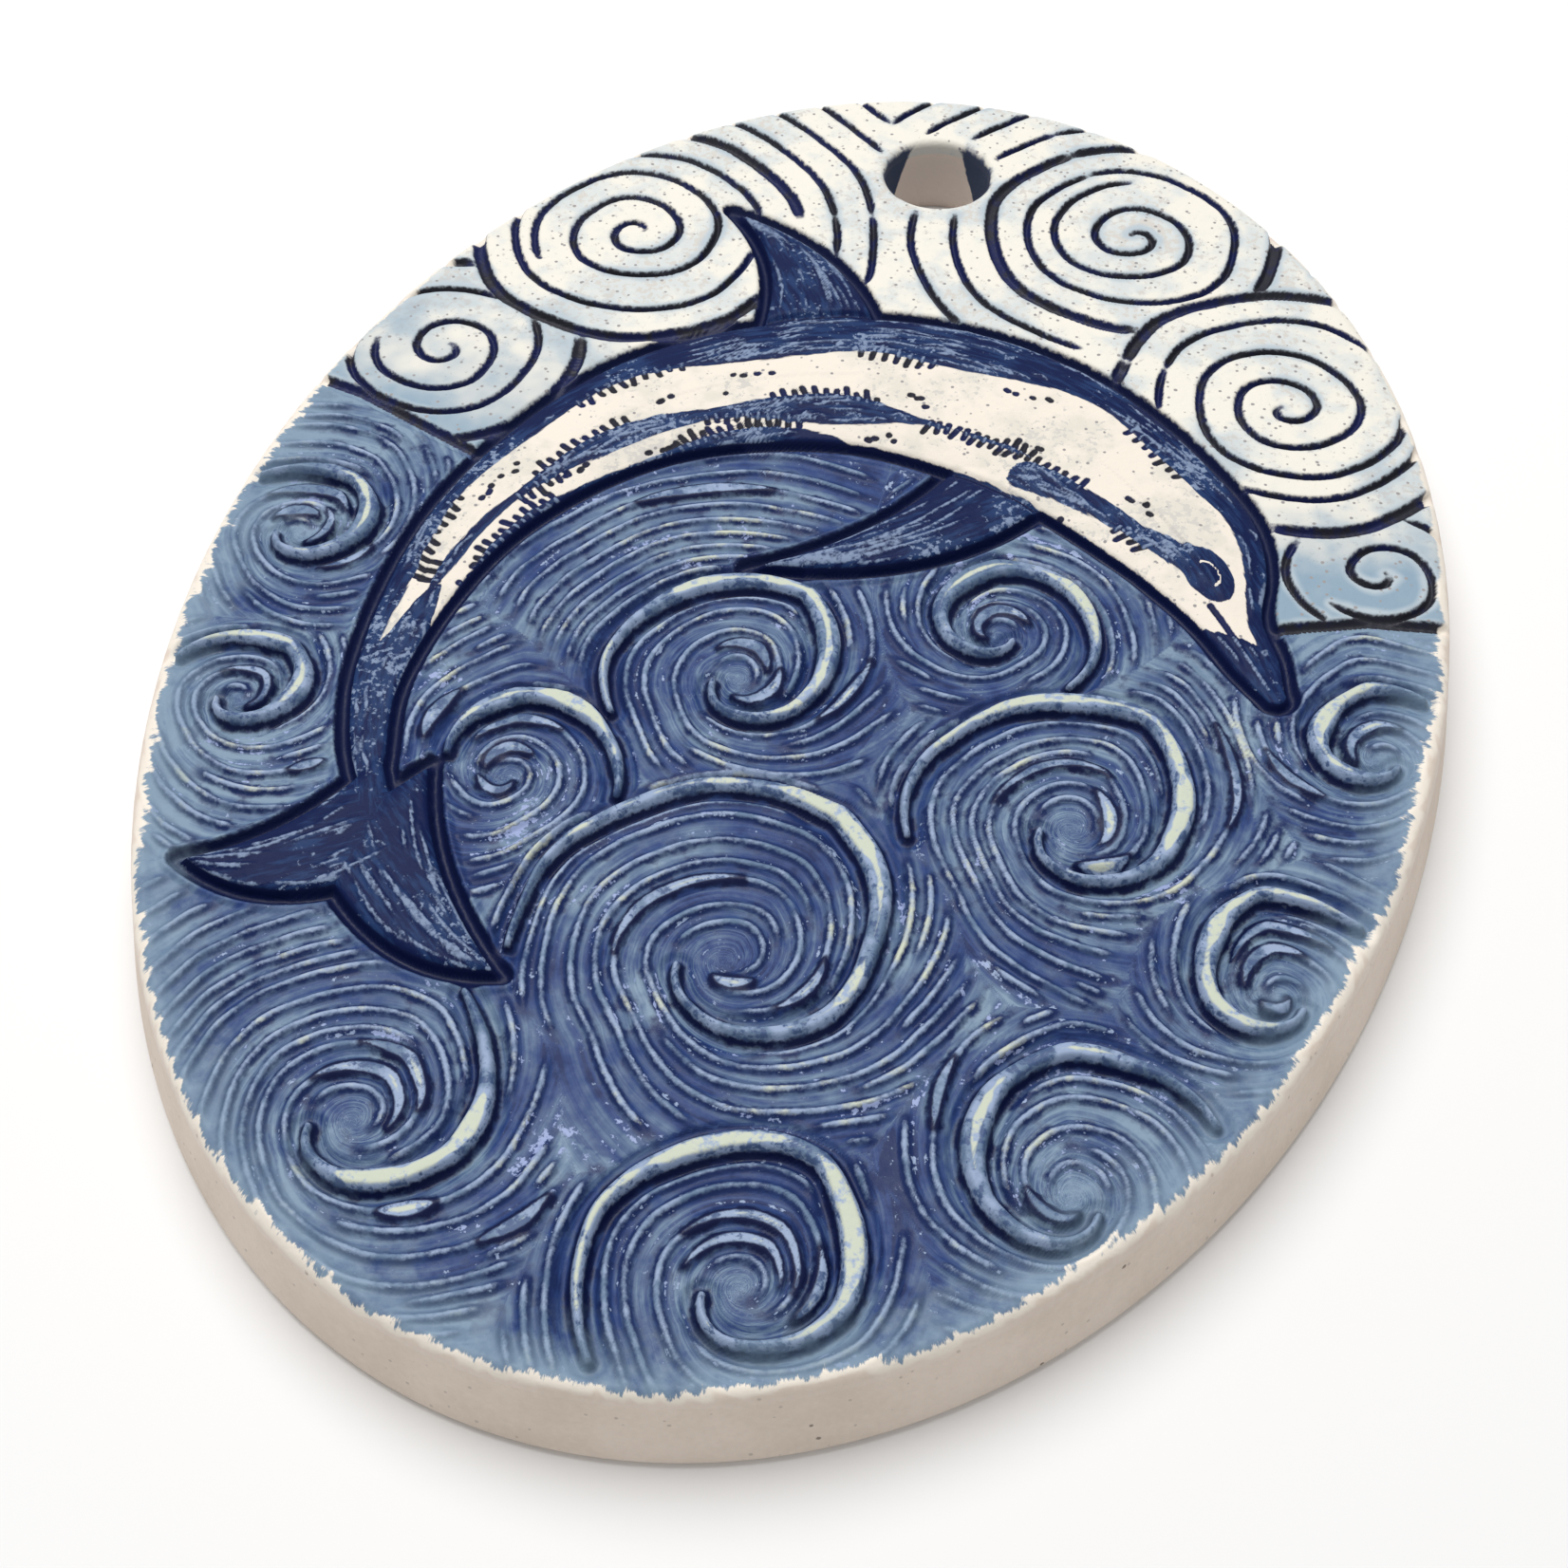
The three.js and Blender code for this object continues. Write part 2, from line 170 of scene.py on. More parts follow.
HORIZON_LEFT = [(-1.3, 0.22), (-0.9, 0.17)]
HORIZON_RIGHT = [(0.86, 0.14), (1.3, 0.20)]
HORIZON_FLOOR = 0.08
# Height over the horizon's ends that the low sky's tint takes
LOW_SKY = 14

# Hole's wall: the way, in radians, where it stays bare, how that widens with depth, and the glaze's depth
BARE_BORE_AT = 1.86
BARE_BORE_FROM = 0.3
BARE_BORE_TO = 1.2
BORE_GLAZE_DEPTH = 4.8

# Sizes of the glaze's grain, mottling and clouding
GRAIN = 0.35
MOTTLING = 1.2
CLOUDING = 6.0

# Specular level: both surfaces are full of fine pores, the matt clay a little less so than the thin glaze
GLAZE_GLOSS = 0.2
BODY_GLOSS = 0.1
CLAY_GLOSS = 0.3

# Stage: floor, light all round, window light and the photograph's camera. The light's size is in metres
FLOOR_HALF = 900
FLOOR_COLOUR = (0.92, 0.915, 0.91, 1)
WORLD_LIGHT = 0.4
LIGHT_SIZE = 0.42
LIGHT_POWER = 1.95
LIGHT_AT = (-100, 125, 440)
CAMERA_LENS = 50.12
CAMERA_AT = (20.4, -73.7, 86.4)
CAMERA_AIM = (0.83, -8.54, 0)

# Fineness of the meshes and of the drawn lines, as numbers of steps or points
FACE_GRID = (520, 710)
BODY_SIDES = 720
FOOT_POINTS = 7
WALL_POINTS = 10
BORE_POINTS = 6
LIP_STEPS = 8
SPAN_POINTS = 50
FIN_POINTS = 24
SCRATCH_POINTS = 14
STREAK_POINTS = 60
MOUTH_POINTS = 30
BORDER_POINTS = 240
QUADS_PER_PIECE = 92000
BATCH = 20000

# What a distance says where it isn't worked out, and the most that one kept on the mesh says
FAR = 99.0
MOST = 9.0
# How far from the spine a place on the body is worked out
BODY_REACH = 11.0
# Metres within which two vertices are one
TOUCHING = 1e-7
# The underside is filled on a slightly bent plan, so that no three vertices of its border lie on one line
FILL_BEND = 0.002


def linear(hex_code):
    """sRGB hex colour as the linear RGBA that Blender's nodes take"""
    parts = [int(hex_code[i:i + 2], 16) / 255 for i in (1, 3, 5)]
    return tuple(c / 12.92 if c <= 0.04045 else ((c + 0.055) / 1.055) ** 2.4 for c in parts) + (1.0,)


def smoothstep(low, high, value):
    t = np.clip((value - low) / (high - low), 0, 1)
    return t * t * (3 - 2 * t)


def on_face(places):
    """Places given as shares of the face's half width and half height, in millimetres"""
    return np.array(places, float) * FACE_HALF


def directions(angle):
    return np.column_stack([np.cos(angle), np.sin(angle)])


def run_length(path):
    """Length of a path up to each of its points"""
    return np.concatenate([[0], np.cumsum(np.hypot(*np.diff(path, axis=0).T))])


def evenly(path, count):
    """The same path with a number of evenly spaced points"""
    length = run_length(path)
    places = np.linspace(0, length[-1], count)
    return np.column_stack([np.interp(places, length, path[:, k]) for k in range(path.shape[1])])


def spline(points):
    """Smooth path through the points, evenly sampled along its length"""
    p = np.vstack([points[:1], points, points[-1:]])
    t = np.linspace(0, 1, SPAN_POINTS, endpoint=False)[:, None]
    pieces = []
    for a, b, c, d in zip(p[:-3], p[1:-2], p[2:-1], p[3:]):
        m, n = (c - a) / 2, (d - b) / 2
        pieces.append((2 * b - 2 * c + m + n) * t ** 3 + (3 * c - 3 * b - 2 * m - n) * t ** 2 + m * t + b)
    return evenly(np.vstack([*pieces, points[-1:]]), len(points) * SPAN_POINTS)


def smooth_knots(knots, shares):
    """Smooth value along a list of (share of the length, value) knots"""
    x, y = np.array(knots, float).T
    slope = np.gradient(y, x)
    i = np.clip(np.searchsorted(x, shares) - 1, 0, len(x) - 2)
    span = x[i + 1] - x[i]
    t = np.clip((shares - x[i]) / span, 0, 1)
    bend = (y[i] * (1 + 2 * t) + slope[i] * span * t) * (1 - t) ** 2
    return bend + (y[i + 1] * (3 - 2 * t) + slope[i + 1] * span * (t - 1)) * t ** 2


def within(starts, ends, points):
    """Which points lie inside the closed loops that the edges form"""
    odd = np.zeros(len(points), bool)
    x, y = points.T
    for a, b in zip(starts, ends):
        if a[1] != b[1]:
            across = (b[0] - a[0]) * (y - a[1]) / (b[1] - a[1]) + a[0]
            odd ^= ((a[1] > y) != (b[1] > y)) & (x < across)
    return odd


def inside(outline, points):
    return within(outline, np.roll(outline, -1, axis=0), points)


def in_oval(points, half):
    return (points ** 2 / half ** 2).sum(1) < 1


def path_distance(path, points, half=None):
    """Distance from each point to an open path, or to the edge of one that has half widths"""
    half = np.zeros(len(path)) if half is None else half
    best = np.full(len(points), 1e9)
    for a, b, wide, next_wide in zip(path[:-1], path[1:], half[:-1], half[1:]):
        ab = b - a
        t = np.clip((points - a) @ ab / max(ab @ ab, 1e-12), 0, 1)
        gap = points - a - t[:, None] * ab
        best = np.minimum(best, np.hypot(*gap.T) - wide - t * (next_wide - wide))
    return best


def bezier(curve, count):
    a, b, c = on_face(curve)
    t = np.linspace(0, 1, count)[:, None]
    return a * (1 - t) ** 2 + 2 * b * t * (1 - t) + c * t ** 2


def rows_near(path, points, reach):
    """Rows of the points that lie within the box round a path, widened by a reach"""
    return np.flatnonzero(((points > path.min(0) - reach) & (points < path.max(0) + reach)).all(1))


def outline_distance(outline, points, reach=4.0):
    """Distance to a closed outline, negative inside it; far points only get a large value"""
    distance = np.full(len(points), FAR)
    near = rows_near(outline, points, reach)
    gap = path_distance(np.vstack([outline, outline[:1]]), points[near])
    distance[near] = np.where(inside(outline, points[near]), -gap, gap)
    return distance


spine_path = spline(on_face(SPINE))
SPINE_LENGTH = float(run_length(spine_path)[-1])
body_ahead = np.gradient(spine_path, axis=0)
body_ahead /= np.hypot(*body_ahead.T)[:, None]
body_right = np.column_stack([body_ahead[:, 1], -body_ahead[:, 0]])


def half_width(share, side):
    """Distance from the spine to the back edge (side below 0) or to the belly edge"""
    back, belly = (smooth_knots(widths, share) * BODY_FULL_WIDTH for widths in (BACK_WIDTH, BELLY_WIDTH))
    return np.where(side < 0, back, belly)


def body_point(share, side):
    """Place on the body from the share along the spine and the side, -1 back edge to 1 belly edge"""
    share, side = np.broadcast_arrays(np.asarray(share, float), np.asarray(side, float))
    at = share * (len(spine_path) - 1)
    rows = np.arange(len(spine_path))
    middle, across = (np.column_stack([np.interp(at, rows, path[:, k]) for k in (0, 1)])
                      for path in (spine_path, body_right))
    return middle + across * (side * half_width(share, side))[:, None]


def body_place(points):
    """Share along the spine, side (-1 back edge, 1 belly edge) and distance outside the body"""
    share, side, distance = (np.full(len(points), start) for start in (0.0, MOST, FAR))
    near = rows_near(spine_path, points, BODY_REACH)
    last = len(spine_path) - 1
    for rows in np.split(near, range(BATCH, len(near), BATCH)):
        i = ((points[rows][:, None] - spine_path[None]) ** 2).sum(2).argmin(1)
        off = points[rows] - spine_path[i]
        ahead, across = (off * body_ahead[i]).sum(1), (off * body_right[i]).sum(1)
        beyond = np.where(i == last, np.maximum(ahead, 0), np.where(i == 0, np.maximum(-ahead, 0), 0))
        share[rows] = np.clip((i + ahead / (SPINE_LENGTH / last)) / last, 0, 1)
        wide = half_width(share[rows], across)
        side[rows] = across / wide
        distance[rows] = np.hypot(across, beyond) - wide
    return share, side, distance


fin_outlines = {
    name: [np.vstack([bezier(right, FIN_POINTS), bezier(left, FIN_POINTS)[::-1]]) for left, right in fins]
    for name, fins in FINS.items()}


def fin_distance(name, points):
    return np.min([outline_distance(outline, points) for outline in fin_outlines[name]], axis=0)


def fin_place(points):
    """Distance out from the root of the nearest fin, and across it"""
    place = np.zeros((len(points), 2))
    best = np.full(len(points), MOST)
    for name, fins in FINS.items():
        for (left, right), outline in zip(fins, fin_outlines[name]):
            root = on_face([left[0], right[0]]).mean(0)
            out = on_face(left[2]) - root
            out /= np.hypot(*out)
            gap = outline_distance(outline, points, 1.0)
            closer = gap < best
            best[closer] = gap[closer]
            place[closer] = (points[closer] - root) @ np.array([out, [-out[1], out[0]]]).T
    return place


def dolphin_distance(points):
    return np.min([fin_distance(name, points) for name in FINS] + [body_place(points)[2]], axis=0)


EYE_ROW = int(EYE_SHARE * (len(spine_path) - 1))
EYE = body_point([EYE_SHARE], [-0.02])[0]
# Dark stripe from the eye back to the flipper, along and across the body, with its half widths
FACE_STRIPE = np.array([(0.885 * SPINE_LENGTH, 0.1), (0.84 * SPINE_LENGTH, 1.6), (0.74 * SPINE_LENGTH, 3.6)])
FACE_STRIPE_HALF = np.array([0.95, 0.55, 1.0])

arch = spine_path[spine_path[:, 1] > HORIZON_FLOOR * FACE_HALF[1]]
horizon = np.vstack([on_face(HORIZON_LEFT), arch[::6], on_face(HORIZON_RIGHT)])
horizon_line = evenly(horizon, 600)
sky_edge = np.vstack([horizon, on_face([(1.3, 1.3), (-1.3, 1.3)])])


def in_sky(points):
    return inside(sky_edge, points)


def in_sea(points, clear=0.3):
    return ~in_sky(points) & (dolphin_distance(points) > clear) & in_oval(points, FACE_HALF + 1)


def from_hole(points):
    return np.hypot(*(points - HOLE).T)


def mesh_object(name, points, faces, edges=()):
    """Mesh object from points in millimetres"""
    mesh = bpy.data.meshes.new(name)
    mesh.from_pydata((np.asarray(points) * MM).tolist(), edges, faces)
    made = bpy.data.objects.new(name, mesh)
    bpy.context.scene.collection.objects.link(made)
    return made


# Strokes: each is a run of points in millimetres, with a lift that fades it out at its ends

def runs(path, keep, least=1.6, fade=1.6, lift=0.45, waver=0.0):
    """The stretches of a path that are kept, each fading out towards both its ends"""
    found = []
    edges = np.flatnonzero(np.diff(np.concatenate([[0], keep.astype(int), [0]])))
    for a, b in zip(edges[::2], edges[1::2]):
        part = path[a:b]
        length = run_length(part)
        if len(part) > 2 and length[-1] >= least:
            to_end = np.minimum(length, length[-1] - length)
            thin = waver * (1 + np.sin(length * 0.9 + part[0].sum()))
            faded = lift * (1 - smoothstep(0, min(fade, length[-1] / 2.5), to_end))
            found.append(np.column_stack([part, faded + thin]))
    return found


def cut_runs(points, keep, lines, **ends):
    """The kept stretches of many lines, whose points follow one another in one list"""
    cuts = np.cumsum([len(line) for line in lines])[:-1]
    parts = zip(np.split(points, cuts), np.split(keep, cuts))
    return [run for part, kept in parts for run in runs(part, kept, **ends)]


def bold(path):
    """Three lines side by side, which press one broad line"""
    ahead = np.gradient(path, axis=0)
    side = np.column_stack([ahead[:, 1], -ahead[:, 0]]) / np.hypot(*ahead.T)[:, None]
    return [path, path + BOLD_SPREAD * side, path - BOLD_SPREAD * side]


def hand_wander(path):
    """Lets a drawn line stray a little, as a carver's hand does"""
    x, y = path.T
    slow = STRAY * np.column_stack([np.sin(0.47 * x + 0.63 * y + 1.0), np.sin(0.58 * x - 0.45 * y + 2.0)])
    quick = TREMBLE * np.column_stack([np.sin(2.3 * x + 1.7 * y), np.sin(1.9 * x - 2.6 * y + 0.7)])
    return path + slow + quick


def front_one(gaps, cover):
    """The frontmost shape that covers a point, or else the nearest one"""
    covered = gaps < cover
    return np.where(covered.any(0), covered.argmax(0), gaps.argmin(0))


def cloud_owner(points):
    gaps = np.array([
        np.hypot(*(points - on_face(at)).T) - radius * DRAWING_SCALE for at, radius, _, _ in CLOUDS])
    return front_one(gaps, CLOUD_COVER * CLOUD_PITCH)


def sky_strokes():
    """Cut lines of the sky: spiral eyes, the rings round them, and the horizon"""
    strokes = []
    for index, (place, radius, hand, start) in enumerate(CLOUDS):
        radius *= DRAWING_SCALE
        turns = radius / CLOUD_PITCH
        share = np.linspace(0, 1, int(turns * 60))
        way = directions(start + hand * share * turns * 2 * math.pi)
        lines = [on_face(place) + (0.12 * CLOUD_PITCH + radius * share)[:, None] * way]
        for ring in range(CLOUD_RINGS):
            r = radius + (ring + 0.6) * CLOUD_PITCH
            way = directions(start + np.linspace(0, 2 * math.pi, int(2 * math.pi * r / 0.25)))
            line = on_face(place) + r * way
            lines += bold(line) if ring == BOLD_RING else [line]
        points = np.vstack(lines)
        keep = cloud_owner(points) == index
        points = hand_wander(points)
        keep &= in_sky(points) & (from_hole(points) > LIP_RADIUS + 0.3)
        keep &= (dolphin_distance(points) > 0.35) & in_oval(points, FACE_HALF + 1)
        strokes += cut_runs(points, keep, lines, fade=1.0, lift=0.2, waver=0.03)
    for line in bold(horizon_line):
        strokes += runs(line, dolphin_distance(line) > 0.2, lift=0.0)
    return strokes


def wave_at(points):
    """Number of the wave that a point belongs to, and the distance to its eye as a share of its disc"""
    shares = np.array([
        np.hypot(*(points - on_face(at)).T) / (size * DRAWING_SCALE + CREST_WIDTH) for at, size, _ in WAVES])
    owner = front_one(shares, 1)
    return owner, shares[owner, np.arange(len(points))]


def arm_radius(wave, arm):
    """Radius of an arm where it rounds the wave's back"""
    return wave[1] * DRAWING_SCALE * math.exp(-2 * math.pi * WAVE_TIGHTNESS * arm / WAVE_TURN)


def wave_arm(wave, arm, end, start=WAVE_START, step=0.2):
    """Arm of a wave: a ring round its back that rolls in to its eye. Arm 0 is the crest"""
    first = arm_radius(wave, arm)
    angle = np.linspace(start, end, max(60, int((start - end) * first / step)))
    r = first * np.exp(np.minimum(0, WAVE_TIGHTNESS * (angle - ROLL_ANGLE)))
    return on_face(wave[0]) + r[:, None] * directions(angle) * [wave[2], 1]


def swirl_place(points, owner):
    """Place in the noise of the sea's brushed streaks, which follow each wave's arms round to its eye"""
    off = points - on_face([place for place, _, _ in WAVES])[owner]
    angle = np.arctan2(off[:, 1], np.array([hand for _, _, hand in WAVES])[owner] * off[:, 0])
    angle = np.where(angle > ARM_START - 2 * math.pi, angle, angle + 2 * math.pi)
    depth = np.log(np.maximum(np.hypot(*off.T), 0.1))
    arm = (depth / WAVE_TIGHTNESS - np.minimum(0, angle - ROLL_ANGLE)) * WAVE_TURN / ARMS_PER_TURN
    return np.column_stack([STREAKS * directions(arm), 1.5 * depth + 1.2 * np.sin(angle) + 7 * owner])


def eased(path, step=0.2, reach=9):
    """Line with its corners rounded, by averaging along it"""
    path = evenly(path, int(run_length(path)[-1] / step))
    ends = reach // 2
    padded = np.vstack([path[:1]] * ends + [path] + [path[-1:]] * ends)
    return np.column_stack([np.convolve(padded[:, k], np.ones(reach) / reach, "valid") for k in (0, 1)])


def sea_strokes():
    """Thin ridges of the sea, which sweep round each wave's back and wind in to its eye"""
    ridges = []
    for index, wave in enumerate(WAVES):
        lines, stops = [], []
        for first in np.arange(0, ARMS_PER_TURN, 0.25):
            arms = [arm for arm in np.arange(first - 16, 9, ARMS_PER_TURN)
                    if arm_radius(wave, arm) < FARTHEST_ARM]
            line = eased(np.vstack([wave_arm(wave, arm, ARM_START - 2 * math.pi, ARM_START) for arm in arms]))
            lines.append(line)
            stops.append(np.full(len(line), next(near for pitch, near in ARM_STOPS if first % pitch == 0)))
        points = np.vstack(lines)
        keep = np.hypot(*(points - on_face(wave[0])).T) > np.concatenate(stops)
        keep &= wave_at(points)[0] == index
        points = hand_wander(points)
        keep &= in_sea(points) & (path_distance(horizon_line[::10], points) > 0.6)
        keep &= land_distance(crest_lands, points)[0] > 0.4
        ridges += cut_runs(points, keep, lines, lift=0.3, waver=0.05)
    return ridges


def land_distance(lands, points, reach=2.5):
    """Distance outside the nearest raised land, negative on it, and which land that is"""
    best = np.full(len(points), MOST)
    nearest = np.full(len(points), -1)
    for index, (path, half) in enumerate(lands):
        near = rows_near(path, points, reach)
        gap = path_distance(path, points[near], half)
        closer = gap < best[near]
        best[near[closer]] = gap[closer]
        nearest[near[closer]] = index
    return best, nearest


def longest_run(path, keep, least):
    """The longest kept stretch of a path, or nothing, with at least so many evenly spaced points"""
    path = max(runs(path, keep), key=len, default=np.empty((0, 3)))[:, :2]
    return evenly(path, max(least, len(path) // 3)) if len(path) else path


def crest_land(index):
    """Middle line and half widths of a wave's crest, along the part that nothing covers"""
    path = wave_arm(WAVES[index], 0, CREST_END)
    keep = (wave_at(path)[0] == index) & in_sea(path, 0.8) & in_oval(path, FACE_HALF * 0.97)
    path = longest_run(hand_wander(path), keep, 24)
    share = np.linspace(0, 1, len(path))
    knots = [(0, CREST_TIP), (0.3, 0.8 * CREST_WIDTH), (0.65, CREST_WIDTH), (1, CREST_TIP)]
    swell = 1 + 0.16 * np.sin(share * 19 + index) * np.sin(share * math.pi)
    return path, smooth_knots(knots, share) / 2 * swell


crest_lands = [crest_land(index) for index in range(len(WAVES))]


def foam_lands():
    """Short lens-shaped lands that ride on the arms beside the crests"""
    lands = []
    dice = np.random.default_rng(11)
    for index, wave in enumerate(WAVES):
        for arm in FOAM_ARMS:
            start = dice.uniform(-0.6, 3.4)
            reach = dice.uniform(4.0, 8.0) / arm_radius(wave, arm)
            wide = dice.uniform(0.16, 0.34)
            path = wave_arm(wave, arm, start - reach, start)
            keep = (wave_at(path)[0] == index) & in_sea(path, 1.0)
            path = hand_wander(path)
            keep &= (land_distance(crest_lands + lands, path)[0] > 0.55) & in_oval(path, FACE_HALF * 0.95)
            path = longest_run(path, keep, 10)
            if len(path):
                lands.append((path, wide * np.sin(np.linspace(0, math.pi, len(path))) ** 0.8))
    return lands


def engraved_strokes():
    """Carved marks on the dolphin: scratches in its dark glaze, and ticks and dots along the glaze borders"""
    dice = np.random.default_rng(7)
    scratches = []
    for _ in range(SCRATCHES):
        start, side = dice.uniform(0.02, 0.95), dice.uniform(-0.95, 0.95)
        wide = float(half_width(start, side))
        if wide < dice.uniform(0, 0.5) * BODY_FULL_WIDTH:
            continue
        reach = dice.uniform(0.8, 5.0) / SPINE_LENGTH
        waves = np.sin(np.linspace(0, dice.uniform(3, 12), SCRATCH_POINTS)) * dice.uniform(0.02, 0.12)
        for beside in range(dice.integers(1, 4)):
            share = np.linspace(start, min(start + reach * dice.uniform(0.5, 1), 0.97), SCRATCH_POINTS)
            off = dice.uniform(0.35, 0.6) * beside + waves + dice.uniform(-0.4, 0.4) * share
            across = side + off / wide
            scratches.append(body_point(share, np.clip(across, -0.97, 0.97)))
    points = np.vstack(scratches)
    inked = (paint_borders(*body_place(points)[:2]) > 0.2) & (np.hypot(*(points - EYE).T) > EYE_CLEAR)
    strokes = cut_runs(points, inked, scratches, least=0.4, fade=0.9, lift=0.1, waver=0.012)
    sides = np.linspace(-0.9, 0.9, BORDER_POINTS)
    for share in np.arange(0.2, 0.93, TICK_PITCH / SPINE_LENGTH):
        path = body_point(share, sides)
        paint = paint_borders(np.full(BORDER_POINTS, share), sides)
        row = int(share * (len(body_ahead) - 1))
        for border, i in enumerate(np.flatnonzero(np.diff(np.sign(paint)))):
            crowd = math.sin(share * 34 + border * 1.7) + 0.4 * math.sin(share * 97 + border)
            if np.hypot(*(path[i] - EYE)) < EYE_CLEAR + 2:
                continue
            out = np.sign(paint[i] - paint[i + 1])
            way = out * body_right[row] + dice.uniform(-0.3, 0.1) * body_ahead[row]
            if crowd > 0.25:
                t = np.linspace(-0.3, dice.uniform(0.15, 0.5) * min(1.5, 0.6 + crowd), 6)[:, None]
                strokes.append(np.column_stack([path[i] + way * t, np.linspace(0, 0.05, 6)]))
            elif crowd < -0.9:
                start = path[i] + way * dice.uniform(0.8, 1.3)
                t = np.linspace(0, dice.uniform(0, 0.3), 4)[:, None]
                dash = start + t * (body_ahead[row] + 0.25 * way)
                strokes.append(np.column_stack([dash, np.full(4, dice.uniform(0, 0.06))]))
    for edges in (edges for fins in FINS.values() for edges in fins):
        left, right = (bezier(edge, STREAK_POINTS) for edge in edges)
        turns = np.linspace(0, 9, STREAK_POINTS)[:, None]
        for _ in range(FIN_STREAKS):
            mix = dice.uniform(0.08, 0.92) + 0.03 * np.sin(turns + dice.uniform(0, 6))
            first = int(dice.uniform(0, 46))
            path = (left * mix + right * (1 - mix))[first:first + int(dice.uniform(5, 26))]
            path = evenly(path, SCRATCH_POINTS)
            strokes += runs(path, body_place(path)[2] > 0.3, least=0.5, fade=1.0, lift=0.1, waver=0.015)
    mouth = body_point(np.linspace(0.918, 0.995, MOUTH_POINTS), 0.32 - 0.1 * np.linspace(0, 1, MOUTH_POINTS))
    return strokes + [np.column_stack([mouth, np.zeros(MOUTH_POINTS)])]


# What is pressed into the face, and what draws its lines
PRESSED = {"groove": sky_strokes, "ridge": sea_strokes, "mark": engraved_strokes}


def stroke_object(name, strokes):
    """Helper mesh of bare edges that the pressing tree measures distances to"""
    ends = np.cumsum([len(stroke) for stroke in strokes])
    first = np.setdiff1d(np.arange(ends[-1]), ends - 1)
    return mesh_object(name, np.vstack(strokes), [], np.column_stack([first, first + 1]).tolist())


def node(tree, kind, inputs=(), **settings):
    """Adds one node with its settings, and a value or a link for each named input"""
    made = tree.nodes.new(kind)
    for key, value in settings.items():
        setattr(made, key, value)
    for key, value in dict(inputs).items():
        if isinstance(value, bpy.types.Node):
            value = next(s for s in value.outputs if s.enabled)
        if isinstance(value, bpy.types.NodeSocket):
            tree.links.new(value, made.inputs[key])
        else:
            made.inputs[key].default_value = value
    return made


def mottling(tree, place, scale, detail, roughness):
    """Mottled pattern, centred on zero"""
    noise = node(tree, "ShaderNodeTexNoise", {
        "Vector": place, "Scale": scale, "Detail": detail, "Roughness": roughness})
    return node(tree, "ShaderNodeMath", {0: noise, 1: 0.5}, operation="SUBTRACT")


def pressing_tree():
    """Geometry Nodes that press cuts and ridges into the face along the drawn strokes"""
    tree = bpy.data.node_groups.new("pressed relief", "GeometryNodeTree")
    wanted = {"Geometry": "Geometry", "Glaze": "Material", "Unevenness": "Float", "Grain scale": "Float"}
    for name in PRESSED:
        wanted.update({f"{name} lines": "Object", f"{name} reach": "Float", f"{name} depth": "Float"})
    for name, kind in wanted.items():
        tree.interface.new_socket(name, in_out="INPUT", socket_type=f"NodeSocket{kind}")
    tree.interface.new_socket("Geometry", in_out="OUTPUT", socket_type="NodeSocketGeometry")
    given = tree.nodes.new("NodeGroupInput").outputs
    plan, facing = (node(tree, "GeometryNodeInputNamedAttribute", {"Name": name}, data_type="FLOAT_VECTOR")
                    for name in ("plan", "facing"))
    height = node(tree, "GeometryNodeInputNamedAttribute", {"Name": "form"}, data_type="FLOAT")
    shape = given["Geometry"]
    for name in PRESSED:
        lines = node(tree, "GeometryNodeObjectInfo", {"Object": given[f"{name} lines"]})
        near = node(tree, "GeometryNodeProximity", target_element="EDGES", inputs={
            "Geometry": lines.outputs["Geometry"], "Sample Position": plan}).outputs["Distance"]
        in_mm = node(tree, "ShaderNodeMath", {0: near, 1: 1 / MM}, operation="MULTIPLY")
        shape = node(tree, "GeometryNodeStoreNamedAttribute", data_type="FLOAT", domain="POINT", inputs={
            "Geometry": shape, "Name": name, "Value": in_mm})
        # A cut is deepest on its line, and the sea is deepest away from its ridges
        deepest = "To Max" if name == "ridge" else "To Min"
        cut = node(tree, "ShaderNodeMapRange", interpolation_type="SMOOTHSTEP", inputs={
            "Value": near, "From Min": 0.0, "From Max": given[f"{name} reach"],
            "To Min": 0.0, "To Max": 0.0, deepest: given[f"{name} depth"]})
        where = node(tree, "GeometryNodeInputNamedAttribute", {"Name": f"{name}_mask"}, data_type="FLOAT")
        masked = node(tree, "ShaderNodeMath", {0: cut, 1: where}, operation="MULTIPLY")
        height = node(tree, "ShaderNodeMath", {0: height, 1: masked}, operation="SUBTRACT")
    rough = mottling(tree, plan, given["Grain scale"], 3.0, 0.5)
    height = node(tree, "ShaderNodeMath", operation="MULTIPLY_ADD", inputs={
        0: rough, 1: given["Unevenness"], 2: height})
    offset = node(tree, "ShaderNodeVectorMath", {0: facing, "Scale": height}, operation="SCALE")
    moved = node(tree, "GeometryNodeSetPosition", {"Geometry": shape, "Offset": offset})
    whole = node(tree, "GeometryNodeRealizeInstances", {"Geometry": moved})
    glazed = node(tree, "GeometryNodeSetMaterial", {"Geometry": whole, "Material": given["Glaze"]})
    node(tree, "NodeGroupOutput", {"Geometry": glazed})
    return tree


